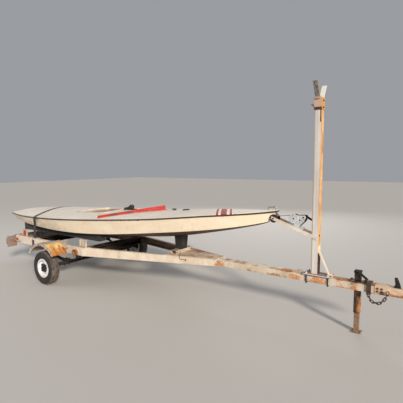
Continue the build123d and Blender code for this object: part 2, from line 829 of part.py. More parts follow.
def mast_post():
    return (Pos(post_x, 0, 0) * Box(post_length_x, post_width_y, 10000)
            - Pos(post_x, 0, 0) * Box(post_length_x - 2 * post_wall, post_width_y - 2 * post_wall, 10000)) \
        & block(post_x - 99, post_x + 99, -99, 99, frame_top + base_thick, post_top)


def post_base():
    top = frame_top + base_thick
    low = frame_top - tongue_height - bolt_radius - fit_gap
    base = block(base_x0, base_x1, -base_half, base_half, frame_top, top)
    leg_y = tongue_width / 2 + bolt_radius + fit_gap
    for x in bolt_places:
        for side in (-1, 1):
            base = base + rod((x, side * leg_y, low), (x, side * leg_y, top + 16), bolt_radius)
            base = base + rod((x, side * leg_y, top), (x, side * leg_y, top + 9), bolt_radius * 1.8)
        base = base + rod((x, -leg_y - bolt_radius, low), (x, leg_y + bolt_radius, low), bolt_radius)
    return base


def post_brace():
    face = post_x + post_length_x / 2
    foot = frame_top + base_thick
    return side_prism([(face, brace_top_z + 25), (face, brace_top_z - 5), (brace_foot_x - 18, foot + 8),
                       (brace_foot_x - 18, foot), (brace_foot_x + 22, foot), (brace_foot_x + 22, foot + 8),
                       (brace_foot_x - 6, foot + 8), (face + 8, brace_top_z), (face + 8, brace_top_z + 25)],
                      -16, 16)


def mast_crutch():
    out_x = post_length_x / 2 + collar_wall + fit_gap
    out_y = post_width_y / 2 + collar_wall + fit_gap
    collar = block(post_x - out_x, post_x + out_x, -out_y, out_y, collar_low, collar_top) - block(
        post_x - out_x + collar_wall, post_x + out_x - collar_wall, -out_y + collar_wall,
        out_y - collar_wall, collar_low - 1, collar_top - 6)
    arm_points = [(45, collar_top - 8), (58, collar_top - 8), (58, collar_top), (136, crutch_top),
                  (124, crutch_top), (45, collar_top + 6)]
    arm = end_prism(arm_points, post_x - crutch_bar / 2, post_x + crutch_bar / 2)
    bridge = block(post_x - crutch_bar / 2, post_x + crutch_bar / 2, -58, 58, collar_top - 8, collar_top + 6)
    rear = post_x - out_x
    gusset = side_prism([(rear - 44, collar_low + 55), (rear, collar_low + 62), (rear, collar_low + 12)], -3, 3)
    return collar + arm + mirrored(arm) + bridge + gusset


# Winch stand: two arms from the post up to the bow roller, with the winch on them
stem_contact = 0.41
roller_core = 20.0
roller_flange = 40.0
roller_half = 36.0
roller_flange_thick = 8.0
roller_pin = 8.0
arm_depth = 28.0
arm_thick = 8.0
arm_post_z = 800.0
winch_place_share = 0.40


def roller_centre():
    foot = boat_point(boat_bow_x - stem_rake_run, 0, stem_foot_z)
    head = boat_point(boat_bow_x, 0, stem_head_z)
    along = (head - foot).normalized()
    outward = Vector(along.Z, 0, -along.X)
    return foot + (head - foot) * stem_contact + outward * (roller_core + round_gap)


roller = roller_centre()
arm_foot = Vector(post_x, 0, arm_post_z)
arm_axis = (roller - arm_foot).normalized()
arm_y = post_width_y / 2 + fit_gap + arm_thick / 2


def winch_arms():
    shapes = []
    for side in (-1, 1):
        offset = Vector(0, side * arm_y, 0)
        start = arm_foot + offset - arm_axis * 25
        end = roller + offset + arm_axis * 22
        bar = flat_bar(start, end, arm_depth, arm_thick, across=(0, 0, 1))
        hole = rod((roller.X, side * arm_y - 9, roller.Z), (roller.X, side * arm_y + 9, roller.Z), roller_pin)
        shapes.append(bar - hole)
    return shapes


def bow_roller():
    x, z = roller.X, roller.Z
    reach = arm_y + arm_thick / 2 + 6
    spool = rod((x, -roller_half, z), (x, roller_half, z), roller_core)
    for side in (-1, 1):
        inner_y = roller_half - roller_flange_thick
        spool = spool + rod((x, side * inner_y, z), (x, side * roller_half, z), roller_flange)
    return spool + rod((x, -reach, z), (x, reach, z), roller_pin - fit_gap)


winch_origin = arm_foot + (roller - arm_foot) * winch_place_share
winch_up = Vector(-arm_axis.Z, 0, arm_axis.X) * -1
winch_plane = Plane(origin=winch_origin + winch_up * (arm_depth / 2), x_dir=arm_axis, z_dir=winch_up)
winch_side_y = 31.0
winch_sheet = 4.0
drum_x = 70.0
drum_z = 66.0
drum_radius = 17.0
drum_flange = 38.0
drum_pin = 8.0
crank_x = -12.0
crank_z = 112.0
crank_pin = 7.0
crank_reach = 92.0
spare_hole = (12.0, 74.0, 8.0)
gear_radius = 44.0
gear_cover = 16.0
# Outline of the side plates in the winch's own frame: x towards the roller, z away from the arms
cheek_outline = [(4, winch_sheet), (44, winch_sheet), (88, 48), (90, 84), (46, 108), (-18, 134),
                 (-34, 120), (-30, 76)]


def at_winch(shape):
    return winch_plane.location * shape


def winch_frame():
    reach = arm_y + arm_thick / 2
    outer = winch_side_y + winch_sheet
    base = block(-40, 100, -reach, reach, 0, winch_sheet)
    cheek = side_prism(cheek_outline, winch_side_y, outer)
    cover = rod((drum_x, outer, drum_z), (drum_x, outer + gear_cover, drum_z), gear_radius)
    holes = joined([rod((x, -99, z), (x, 99, z), r) for x, z, r in (
        (drum_x, drum_z, drum_pin), (crank_x, crank_z, crank_pin), spare_hole)])
    return at_winch(base + (cheek + cover + mirrored(cheek)) - holes)


def winch_drum():
    side_y = winch_side_y - 2
    drum = rod((drum_x, -side_y, drum_z), (drum_x, side_y, drum_z), drum_radius)
    for side in (-1, 1):
        drum = drum + rod((drum_x, side * (side_y - 3), drum_z), (drum_x, side * side_y, drum_z), drum_flange)
    end_y = winch_side_y + 10
    pin = rod((drum_x, -end_y, drum_z), (drum_x, end_y, drum_z), drum_pin - fit_gap)
    return at_winch(drum + pin)


def winch_crank():
    y = -winch_side_y - 16
    end_x, end_z = crank_x - crank_reach, crank_z - 16
    shaft = rod((crank_x, y, crank_z), (crank_x, winch_side_y + 8, crank_z), crank_pin - fit_gap)
    arm = Pos(0, y, 0) * flat_bar((crank_x + 8, 0, crank_z + 1), (end_x, 0, end_z), 18, 6, across=(0, 0, 1))
    knob = rod((end_x + 8, y + 3, end_z + 1), (end_x + 8, y - 46, end_z + 1), 10)
    return at_winch(shaft + arm + knob)


# Straps of flat webbing
strap_width = 50.0
strap_thick = 3.0
winch_strap_width = 40.0
hook_rod = 4.0
wound_thick = 13.0


def winch_strap():
    # A ring on the bow eye, a taut length of webbing and the turns wound on the drum
    eye = boat_place * stem_plane().location * Pos(0, 0, eye_reach)
    ring_radius = eye_rod + hook_rod + round_gap
    ring = eye * Rot(0, 90, 0) * Torus(ring_radius, hook_rod)
    start = (eye * Pos(0, 0, ring_radius)).position
    drum = (winch_plane.location * Pos(drum_x, 0, drum_z)).position
    wound_radius = drum_radius + fit_gap + wound_thick
    lift = math.asin((wound_radius - strap_thick / 2) / (drum - start).length)
    toward = (drum - start).normalized()
    upward = Vector(-toward.Z, 0, toward.X)
    end = drum + (upward * math.cos(lift) - toward * math.sin(lift)) * (wound_radius - strap_thick / 2)
    run = flat_bar(start, end, winch_strap_width, strap_thick)
    half = winch_strap_width / 2
    wound = at_winch(rod((drum_x, -half, drum_z), (drum_x, half, drum_z), wound_radius, drum_radius + fit_gap))
    return ring + run + wound


# Places along the frame of the tie-down strap: over each gunwale, at each chine and on each rail
strap_near_x = (-480.0, -640.0, -720.0)
strap_far_x = (-1200.0, -1165.0, -1060.0)


def hull_corners(x):
    # Breadth and height of the deck edge and of the chine where the boat crosses x on the trailer
    cut = section(placed_body, section_by=Plane(origin=(x, 0, 0), z_dir=(1, 0, 0)))
    corners = sorted({(round(v.Y, 3), round(v.Z, 3)) for v in cut.vertices() if v.Y > 1})
    chine, sheer = sorted(corners, key=lambda corner: corner[1])
    return sheer, chine


def strap_corners(x):
    # The furthest out that the deck edge and the chine reach under webbing centred on x
    sheers, chines = zip(*[hull_corners(x + side * strap_width / 2) for side in (-1, 1)])
    edge = (max(y for y, z in sheers), max(z for y, z in sheers))
    return edge, (max(y for y, z in chines), min(z for y, z in chines))


def ribbon(points):
    # Flat webbing whose width lies along x, through points on its middle line
    half = strap_width / 2
    pieces = []
    for start, end in zip(points, points[1:]):
        a, b, w = Vector(*start), Vector(*end), Vector(half, 0, 0)
        face = make_face(Polyline(a - w, a + w, b + w, b - w, close=True))
        pieces.append(extrude(face, amount=strap_thick / 2, both=True))
    pieces += [rod((x - half, y, z), (x + half, y, z), strap_thick / 2) for x, y, z in points[1:-1]]
    return joined(pieces)


def strap_leg(places, side):
    # Over the deck edge and the rub rail, straight to the chine, down to the rail and round it
    top_x, chine_x, rail_x = places
    (edge_y, edge_z), _ = strap_corners(top_x)
    _, (chine_y, chine_z) = strap_corners(chine_x)
    off = strap_thick / 2 + round_gap
    rail_y = rail_outer_y - rail_flange / 2
    route = [(top_x, edge_y - 12, edge_z + 2.2 + off), (top_x, edge_y + off / 2, edge_z + off),
             (top_x, edge_y + rub_rail_width + off, edge_z - deck_lip + rub_rail_height / 3 + off),
             (top_x, edge_y + rub_rail_width + off, edge_z - deck_lip - rub_rail_height),
             (chine_x, chine_y + off + 1, chine_z - off), (rail_x, rail_y, frame_top + off)]
    leg = ribbon([(x, side * y, z) for x, y, z in route])
    half = strap_width / 2
    outer = strap_thick + fit_gap
    ring = block(rail_x - half, rail_x + half, rail_outer_y - rail_flange - outer, rail_outer_y + outer,
                 frame_top - rail_height - outer, frame_top + outer) - block(
        rail_x - 99, rail_x + 99, rail_outer_y - rail_flange - fit_gap, rail_outer_y + fit_gap,
        frame_top - rail_height - fit_gap, frame_top + fit_gap)
    return leg + (ring if side > 0 else mirrored(ring))


def tie_down_strap():
    shell = boat_place * (hull_body(strap_thick + round_gap) - hull_body(round_gap))
    (near_y, near_z), _ = hull_corners(strap_near_x[0])
    (far_y, far_z), _ = hull_corners(strap_far_x[0])
    run = Vector(strap_far_x[0] - strap_near_x[0], far_y + near_y, 0)
    middle = Vector((strap_near_x[0] + strap_far_x[0]) / 2, (far_y - near_y) / 2, (near_z + far_z) / 2)
    over = Plane(origin=middle, x_dir=run, z_dir=(0, 0, 1)) * Box(run.length - 2, strap_width, 300)
    above = side_prism([(strap_far_x[0] - 90, far_z), (strap_near_x[0] + 90, near_z),
                        (strap_near_x[0] + 90, near_z + 200), (strap_far_x[0] - 90, near_z + 200)],
                       -hull_beam, hull_beam)
    return joined([shell & over & above, strap_leg(strap_near_x, -1), strap_leg(strap_far_x, 1)])


# Jack on the tongue: a square tube through it, a sliding leg and a crank on top
leg_length = 330.0
foot_size = 80.0
foot_thick = 6.0
jack_wall = (jack_outer - jack_inner) / 2 - jack_slack
flange_x0 = 3380.0
flange_x1 = 3520.0


def jack_tube():
    half = jack_outer / 2
    tube = block(jack_x - half, jack_x + half, -half, half, jack_tube_bottom, jack_tube_top)
    bore = half - jack_wall
    tube = tube - block(jack_x - bore, jack_x + bore, -bore, bore, jack_tube_bottom - 1, jack_tube_top - 8)
    flange = block(flange_x0, flange_x1, -38, 38, frame_top, frame_top + 8) - block(
        jack_x - bore, jack_x + bore, -bore, bore, frame_top - 1, frame_top + 9)
    return tube + flange


def jack_leg():
    half = jack_inner / 2
    wall = 3.0
    leg = block(jack_x - half, jack_x + half, -half, half, 0, leg_length) - block(
        jack_x - half + wall, jack_x + half - wall, wall - half, half - wall, foot_thick, leg_length + 1)
    foot = foot_size / 2
    return leg + block(jack_x - foot, jack_x + foot, -foot, foot, 0, foot_thick)


def jack_crank():
    cap = block(jack_x - 29, jack_x + 29, -29, 29, jack_tube_top, jack_tube_top + 16)
    hub_end = (jack_x + 16, -44, jack_tube_top + 8)
    shaft = rod((jack_x + 16, -20, jack_tube_top + 8), hub_end, 8)
    arm = Pos(0, -44, 0) * flat_bar((jack_x + 8, 0, jack_tube_top + 18), (jack_x + 86, 0, frame_top + 36), 20, 6,
                                    across=(0, 0, 1))
    grip = rod((jack_x + 80, -44, frame_top + 43), (jack_x + 80, -116, frame_top + 43), 11)
    return cap + shaft + arm + grip


# Safety chain: interlocked links hang in a bight from a pin on a clamp round the tongue to one on
# the coupler. Links lie on edge and flat by turns. One on edge swings about the end wire of its flat
# neighbour, which sits at the centre of its end bend, so the gap between them is the same at any slope.
chain_x = 3545.0
chain_y = -68.0
chain_z = 376.0
clamp_half = 18.0
clamp_thick = 12.0
link_wire = 4.0
link_gap = 0.7
link_half_width = 2 * link_wire + link_gap
link_half_length = 18.5
# Slope in degrees of each link in turn, the first on edge
link_slopes = (-70, -60, -35, -5, 25, 45, 60, 70, 76)


def chain_pivots():
    pivots = [Vector(chain_x, chain_y, chain_z)]
    for number, slope in enumerate(link_slopes):
        pitch = 2 * link_half_length if number % 2 else 2 * (link_half_length - link_half_width)
        angle = math.radians(slope)
        pivots.append(pivots[-1] + Vector(pitch * math.cos(angle), 0, pitch * math.sin(angle)))
    return pivots


def chain_link(start, end, flat):
    along = (end - start).normalized()
    across = Vector(0, 1, 0)
    place = Plane(origin=(start + end) * 0.5, x_dir=along, z_dir=along.cross(across) if flat else across)
    path = (place * SlotOverall(2 * link_half_length, 2 * link_half_width)).wire()
    return sweep(Plane(origin=path @ 0, z_dir=path % 0) * Circle(link_wire), path=path)


def chain_pin(place, from_y):
    # A pin with a head outboard of the chain
    x, z = place.X, place.Z
    outer = chain_y - link_wire - 2
    return rod((x, from_y, z), (x, outer, z), link_wire) + rod((x, outer, z), (x, outer - 3, z), link_wire * 1.9)


def safety_chain():
    half = tongue_width / 2 + fit_gap
    low = frame_top - tongue_height - fit_gap
    high = frame_top + fit_gap
    clamp = block(chain_x - clamp_half, chain_x + clamp_half, -half - clamp_thick, half + clamp_thick,
                  low - clamp_thick, high + clamp_thick)
    clamp = fillet(clamp.edges().filter_by(Axis.X), clamp_thick / 2) - block(
        chain_x - 99, chain_x + 99, -half, half, low, high)
    pivots = chain_pivots()
    links = [chain_link(start, end, number % 2 == 1)
             for number, (start, end) in enumerate(zip(pivots, pivots[1:]))]
    return [clamp + chain_pin(pivots[0], -half - clamp_thick / 2)] + links


def build_boat():
    makers = (hull, deck, rub_rail, cockpit_tub, daggerboard_trunk, mast_step, splashguard, halyard_cleat,
              bow_handle, bow_eye, mainsheet_block, rudder_gudgeon)
    return {make.__name__: boat_place * Compound(children=solids_of(make())) for make in makers}


def solids_of(made):
    shapes = made if isinstance(made, list) else [made]
    return [solid for shape in shapes for solid in shape.solids()]


def build_trailer():
    nodes = {}
    pairs = (frame_rail, bunk, leaf_spring, fender)
    for make in pairs:
        made = make()
        nodes[make.__name__ + "_far"] = Compound(children=solids_of(made))
        nodes[make.__name__ + "_near"] = Compound(children=solids_of(mirrored(made)))
    for node, rear_x, length, height in crossbeams:
        nodes[node] = Compound(children=solids_of(crossbeam(rear_x, length, height)))
    makers = (cross_tube, tongue, gusset_plate, rear_crossbeam, lamp_plates, tail_lamps, bunk_brackets,
              cradle_beam, keel_cradle, spring_hangers, axle, coupler, coupler_latch, mast_post, post_base,
              post_brace, mast_crutch, winch_arms, bow_roller, winch_frame, winch_drum, winch_crank,
              winch_strap, tie_down_strap, jack_tube, jack_leg, jack_crank, safety_chain)
    for make in makers:
        nodes[make.__name__] = Compound(children=solids_of(make()))
    for make in (tyre, rim, hub):
        made = make()
        centre = Pos(0, track / 2, tyre_radius)
        nodes[make.__name__ + "_far"] = Compound(children=solids_of(centre * made))
        nodes[make.__name__ + "_near"] = Compound(children=solids_of(mirrored(centre * made)))
    return nodes


def main():
    os.makedirs("parts", exist_ok=True)
    nodes = build_boat() | build_trailer()
    boxes = [shape.bounding_box() for shape in nodes.values()]
    low_x, high_x = min(b.min.X for b in boxes), max(b.max.X for b in boxes)
    print(f"whole length {high_x - low_x:.1f}, middle {(low_x + high_x) / 2:.2f} from the axle")
    middle_x = (low_x + high_x) / 2
    for name, shape in nodes.items():
        export_step(Pos(-middle_x, 0, 0) * shape, f"parts/{name}.step")
    marks = {
        "mast_step": boat_point(mast_x, 0, mast_deck + collar_height),
        "mast_step_floor": boat_point(mast_x, 0, mast_floor + fit_gap + 2 * mast_wall),
        "trunk_top": boat_point(trunk_x, 0, trunk_top),
        "gudgeon": boat_point(stern_x - gudgeon_reach, 0, gudgeon_z),
        "cockpit_mid": boat_point((cockpit_x0 + cockpit_x1) / 2, 0, cockpit_floor + cockpit_wall),
    }
    for name, point in marks.items():
        print(name, round(point.X - middle_x, 2), round(point.Y, 2), round(point.Z, 2))


main()
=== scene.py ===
import json
import math

import bmesh
import bpy
from mathutils import Matrix, Vector


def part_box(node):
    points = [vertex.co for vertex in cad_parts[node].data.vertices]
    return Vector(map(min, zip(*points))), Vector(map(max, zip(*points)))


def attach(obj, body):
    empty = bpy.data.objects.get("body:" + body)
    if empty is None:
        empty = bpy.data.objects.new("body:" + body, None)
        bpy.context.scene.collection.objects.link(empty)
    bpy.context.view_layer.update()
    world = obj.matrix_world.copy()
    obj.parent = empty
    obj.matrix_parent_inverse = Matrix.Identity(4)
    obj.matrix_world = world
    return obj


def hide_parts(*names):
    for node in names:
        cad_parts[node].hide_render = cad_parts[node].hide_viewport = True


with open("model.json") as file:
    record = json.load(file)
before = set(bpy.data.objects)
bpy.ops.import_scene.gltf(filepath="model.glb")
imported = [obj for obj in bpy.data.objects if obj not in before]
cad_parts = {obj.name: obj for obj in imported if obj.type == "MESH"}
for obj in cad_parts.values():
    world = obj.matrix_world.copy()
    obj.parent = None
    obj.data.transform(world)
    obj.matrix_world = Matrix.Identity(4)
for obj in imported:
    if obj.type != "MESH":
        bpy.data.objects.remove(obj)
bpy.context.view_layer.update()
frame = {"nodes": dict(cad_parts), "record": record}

nodes = frame["nodes"]
print("frame loaded:", len(nodes), "nodes")

# The whole part's origin is under the middle of its length, so the axle lies aft of it
axleX = (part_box("tyre_near")[0].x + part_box("tyre_near")[1].x) / 2
wheelZ = (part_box("tyre_near")[0].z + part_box("tyre_near")[1].z) / 2


# Node tree helpers

def putValues(tree, node, values):
    for key, value in values.items():
        value = getattr(value, "socket", value)
        if isinstance(value, bpy.types.NodeSocket):
            tree.links.new(value, node.inputs[key])
        else:
            node.inputs[key].default_value = value
    return node


def addNode(tree, kind, values=None, **settings):
    node = tree.nodes.new(kind)
    for key, value in settings.items():
        setattr(node, key, value)
    return putValues(tree, node, values or {})


def spaced(values):
    # Keyword names as socket names
    return {key.replace("_", " "): value for key, value in values.items()}


def solid(colour):
    # A colour of three numbers with full cover; another wire stays as it is
    return colour if isinstance(colour, Wire) else (*colour, 1)


class Wire:
    # A node's output; each step taken from it adds a node to its tree and gives that node's output
    def __init__(self, tree, socket):
        self.tree = tree
        self.socket = socket

    def into(self, kind, values, output=0, **settings):
        return Wire(self.tree, addNode(self.tree, kind, values, **settings).outputs[output])

    def math(self, operation, second=0.0):
        return self.into("ShaderNodeMath", {0: self, 1: second}, operation=operation)

    def __add__(self, other):
        return self.math("ADD", other)

    def __sub__(self, other):
        return self.math("SUBTRACT", other)

    def __rsub__(self, other):
        return self.into("ShaderNodeMath", {0: other, 1: self}, operation="SUBTRACT")

    def __mul__(self, other):
        return self.math("MULTIPLY", other)

    def __truediv__(self, other):
        return self.math("DIVIDE", other)

    def most(self, other):
        return self.math("MAXIMUM", other)

    def capped(self):
        self.socket.node.use_clamp = True
        return self

    def ramp(self, low, high, toLow=0.0, toHigh=1.0):
        return self.into("ShaderNodeMapRange", {0: self, 1: low, 2: high, 3: toLow, 4: toHigh},
                         interpolation_type="SMOOTHSTEP")

    def between(self, first, second):
        # The first colour where this is 0, the second where it is 1
        return self.into("ShaderNodeMix", {0: self, 6: solid(first), 7: solid(second)}, 2, data_type="RGBA")

    def towards(self, colour, share):
        return self.into("ShaderNodeMix", {0: share, 6: self, 7: solid(colour)}, 2, data_type="RGBA")

    def noise(self, scale, detail=4.0, roughness=0.55):
        return self.into("ShaderNodeTexNoise",
                         {"Vector": self, "Scale": scale, "Detail": detail, "Roughness": roughness})

    def placed(self, location=(0, 0, 0), rotation=(0, 0, 0), scale=(1, 1, 1)):
        return self.into("ShaderNodeMapping",
                         {"Vector": self, "Location": location, "Rotation": rotation, "Scale": scale})

    def split(self, axes="xyz"):
        parts = addNode(self.tree, "ShaderNodeSeparateXYZ", {0: self}).outputs
        return [Wire(self.tree, parts["xyz".index(axis)]) for axis in axes]

    def axis(self, name):
        return self.split(name)[0]

    def effect(self, name, **values):
        node = self.tree.nodes.new("ShaderNodeGroup")
        node.node_tree = effects[name]
        putValues(self.tree, node, {0: self, **spaced(values)})
        made = [Wire(self.tree, output) for output in node.outputs]
        return made if len(made) > 1 else made[0]

    def wear(self, radius, breakup, amount):
        return self.effect("edgeWear", Radius=radius, Breakup=breakup, Amount=amount)

    def rust(self, scale, amount, bias=0.0):
        return self.effect("rustBloom", Scale=scale, Amount=amount, Bias=bias)

    def grain(self, scale, coarse):
        return self.effect("fineGrain", Scale=scale, Coarse=coarse)

    def runs(self, spacing, length):
        return self.effect("rainStreaks", Spacing=spacing, Length=length)


def startGroup(name, inputs, outputs):
    tree = bpy.data.node_groups.new(name, "ShaderNodeTree")
    for label, value in inputs.items():
        kind = "NodeSocketVector" if value is None else "NodeSocketFloat"
        socket = tree.interface.new_socket(label, in_out="INPUT", socket_type=kind)
        if value is not None:
            socket.default_value = value
    for label in outputs:
        kind = "NodeSocketColor" if label == "Color" else "NodeSocketFloat"
        tree.interface.new_socket(label, in_out="OUTPUT", socket_type=kind)
    sockets = tree.nodes.new("NodeGroupInput").outputs
    return tree, *(Wire(tree, sockets[label]) for label in inputs)


def endGroup(tree, values):
    putValues(tree, tree.nodes.new("NodeGroupOutput"), values)
    return tree


# Shared effects

def makeEdgeWear():
    # 1 on bare edges and corners, broken up by noise
    tree, at, radius, breakup, amount = startGroup(
        "edgeWear", {"Vector": None, "Radius": 0.004, "Breakup": 60.0, "Amount": 0.5}, ["Mask"])
    bevel = addNode(tree, "ShaderNodeBevel", {"Radius": radius}, samples=4)
    plain = tree.nodes.new("ShaderNodeNewGeometry").outputs["Normal"]
    turn = at.into("ShaderNodeVectorMath", {0: bevel.outputs[0], 1: plain}, "Value", operation="DOT_PRODUCT")
    shown = turn.ramp(0.995, 0.82) + (at.noise(breakup, 5) - (1.0 - amount))
    return endGroup(tree, {"Mask": shown.ramp(0.75, 1.05)})


def makeRustBloom():
    # Patches of rust with their own colour, thicker where Bias is high
    colours = {"brown": (0.13, 0.045, 0.018), "red": (0.50, 0.20, 0.062), "bright": (0.74, 0.40, 0.15)}
    tree, at, scale, amount, bias = startGroup(
        "rustBloom", {"Vector": None, "Scale": 6.0, "Amount": 0.4, "Bias": 0.0}, ["Mask", "Color", "Height"])
    large = at.noise(scale, 6, 0.62)
    fine = at.noise(scale * 9.0, 6, 0.7)
    mask = (large * 0.72 + fine * 0.28 + bias + amount).ramp(0.93, 1.03)
    brown = at.noise(scale * 3.1, 7, 0.7).ramp(0.33, 0.68).between(colours["brown"], colours["red"])
    colour = (fine.ramp(0.5, 0.72) * 0.45).between(brown, colours["bright"])
    return endGroup(tree, {"Mask": mask, "Color": colour, "Height": mask * (fine + 0.4)})


def makeDustFilm():
    # Dust that settles on what faces up
    tree, at, normal, scale, amount = startGroup(
        "dustFilm", {"Vector": None, "Normal": None, "Scale": 9.0, "Amount": 0.5}, ["Mask"])
    up = normal.axis("z").ramp(0.0, 0.95)
    share = at.noise(scale, 6, 0.65).ramp(0.3, 0.75) * 0.75 + 0.25
    return endGroup(tree, {"Mask": (up * share * amount).capped()})


def makeStreaks():
    # Runs of dirt down the sides
    tree, at, spacing, length = startGroup(
        "rainStreaks", {"Vector": None, "Spacing": 30.0, "Length": 1.6}, ["Mask"])
    x, y, z = at.split()
    stretched = at.into("ShaderNodeCombineXYZ", {0: x * spacing, 1: y * spacing, 2: z * length})
    return endGroup(tree, {"Mask": stretched.noise(1.0, 5, 0.6).ramp(0.46, 0.75)})


def makeGrain():
    # Fine relief for paint, rubber and castings
    tree, at, scale, coarse = startGroup("fineGrain", {"Vector": None, "Scale": 400.0, "Coarse": 40.0}, ["Height"])
    return endGroup(tree, {"Height": at.noise(scale, 3, 0.6) * 0.35 + at.noise(coarse, 5, 0.6) * 0.65})


def makeWebbing():
    # Woven band: cords along it, crossed by picks
    tree, across, along, cords, picks = startGroup(
        "wovenBand", {"Across": 0.0, "Along": 0.0, "Cords": 900.0, "Picks": 1400.0}, ["Height"])
    cordWave = (across * cords).math("SINE")
    pickWave = (along * picks).math("SINE")
    return endGroup(tree, {"Height": cordWave.math("ABSOLUTE") * 0.6 + cordWave * pickWave * 0.4})


def makeRustPatch():
    # One soft-edged patch on a face that runs along x: 1 inside, broken up at its rim
    tree, at, middleX, middleZ, halfLength, halfHeight = startGroup(
        "rustPatch", {"Vector": None, "Middle X": 0.0, "Middle Z": 0.0, "Half Length": 0.05, "Half Height": 0.03},
        ["Mask"])
    x, z = at.split("xz")
    along = (x - middleX) / halfLength
    across = (z - middleZ) / halfHeight
    reach = (along * along + across * across).math("SQRT")
    return endGroup(tree, {"Mask": (reach + at.noise(46, 6, 0.7) * 1.5).ramp(1.86, 1.52)})


effects = {
    "rustPatch": makeRustPatch(), "edgeWear": makeEdgeWear(), "rustBloom": makeRustBloom(),
    "dustFilm": makeDustFilm(), "rainStreaks": makeStreaks(), "fineGrain": makeGrain(), "wovenBand": makeWebbing(),
}
print("shader groups made:", len(effects))


class Finish:
    # One material with its Principled shader, object coordinates, the colour so far and an optional bump
    def __init__(self, name):
        self.material = bpy.data.materials.new(name)
        self.material.use_nodes = True
        self.tree = self.material.node_tree
        self.shader = self.tree.nodes["Principled BSDF"]
        coords = self.tree.nodes.new("ShaderNodeTexCoord")
        self.at = Wire(self.tree, coords.outputs["Object"])
        self.normal = Wire(self.tree, coords.outputs["Normal"])
        self.base = None

    def cover(self, mask, colour):
        # Lays a colour over what is there, as far as the mask says
        self.base = mask.between(self.base, colour)

    def dust(self, colour, scale, amount):
        self.cover(self.at.effect("dustFilm", Normal=self.normal, Scale=scale, Amount=amount), colour)

    def bump(self, height, distance):
        node = addNode(self.tree, "ShaderNodeBump", {"Height": height, "Distance": distance, "Strength": 1.0})
        self.tree.links.new(node.outputs[0], self.shader.inputs["Normal"])

    def give(self, **values):
        putValues(self.tree, self.shader, {"Base Color": self.base, **spaced(values)})
        return self.material


# Boat

boatPlace = {"pitch": math.radians(3.0), "baseX": 0.750, "baseZ": 0.562}
boatTurn = Matrix.Rotation(boatPlace["pitch"], 3, "Y")
boatBase = Vector((boatPlace["baseX"] + axleX, 0, boatPlace["baseZ"]))


def onBoat(finish):
    # A place on the level boat: x forward, z up from the keel's lowest point
    return finish.at.placed(-(boatTurn @ boatBase), (0, boatPlace["pitch"], 0))


deckStripes = {
    "slant": 0.58,
    "band": (1.268, 1.476),
    "reds": ((1.278, 1.304), (1.334, 1.404), (1.438, 1.464)),
    "softEdge": 0.0015,
    "red": (0.34, 0.014, 0.010), "white": (0.80, 0.75, 0.66),
}


def stripeMask(place, low, high):
    soft = deckStripes["softEdge"]
    return place.ramp(low - soft, low + soft) * place.ramp(high + soft, high - soft)


def deckGelcoat():
    sizes = {"colour": (0.70, 0.655, 0.595), "chalk": (0.80, 0.765, 0.71), "grime": (0.25, 0.21, 0.165),
             "dust": (0.50, 0.42, 0.32)}
    paint = Finish("deckGelcoat")
    boat = onBoat(paint)
    x, y = boat.split("xy")
    paint.base = boat.noise(2.6, 6).ramp(0.35, 0.7).between(sizes["colour"], sizes["chalk"])
    slanted = x + y * deckStripes["slant"]
    worn = boat.noise(60, 6, 0.7).ramp(0.74, 0.68) * 0.96
    paint.cover(stripeMask(slanted, *deckStripes["band"]) * worn, deckStripes["white"])
    red, *others = (stripeMask(slanted, low, high) for low, high in deckStripes["reds"])
    for other in others:
        red = (red + other).capped()
    paint.cover(red * worn, deckStripes["red"])
    blotches = boat.noise(7.0, 8, 0.72).ramp(0.50, 0.80)
    speckles = boat.noise(130, 4, 0.75).ramp(0.63, 0.74)
    dirt = (blotches * 0.38 + speckles * 0.55).capped() * (1.0 - red * 0.7)
    paint.cover(dirt, sizes["grime"])
    film = boat.effect("dustFilm", Normal=paint.normal, Scale=5.0, Amount=0.32)
    paint.cover(film * (1.0 - red * 0.85), sizes["dust"])
    scratch = boat.placed(scale=(9, 160, 9)).noise(1.0, 3)
    paint.bump(boat.grain(500.0, 24.0), 0.0006)
    return paint.give(Roughness=(scratch + dirt * 0.4).ramp(0.35, 0.9, 0.50, 0.78), Specular_IOR_Level=0.22)


def tubGelcoat():
    # The cockpit's moulding: a pale lip, painted shade that deepens towards its floor, and specks of dirt
    sizes = {"colour": (0.54, 0.48, 0.40), "chalk": (0.64, 0.58, 0.50), "grime": (0.20, 0.140, 0.090),
             "lip": 0.020, "shadeDepth": 0.055}
    paint = Finish("tubGelcoat")
    x, z = paint.at.split("xz")
    paint.base = paint.at.noise(6, 6).ramp(0.35, 0.7).between(sizes["colour"], sizes["chalk"])
    slope = math.tan(boatPlace["pitch"])
    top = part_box("cockpit_tub")[1]
    sunk = (top.z - top.x * slope) - (z - x * slope)
    # Painted shade: darker the further below the lip, towards the tub's floor
    dirt = (sunk + paint.at.noise(30, 6, 0.7) * 0.02).ramp(sizes["lip"], sizes["shadeDepth"], 0.0, 0.9)
    paint.cover(dirt, sizes["grime"])
    paint.cover(paint.at.noise(130, 4, 0.75).ramp(0.60, 0.72) * 0.6, sizes["grime"])
    paint.bump(paint.at.grain(500.0, 24.0), 0.0006)
    return paint.give(Roughness=dirt.ramp(0, 1, 0.45, 0.8))


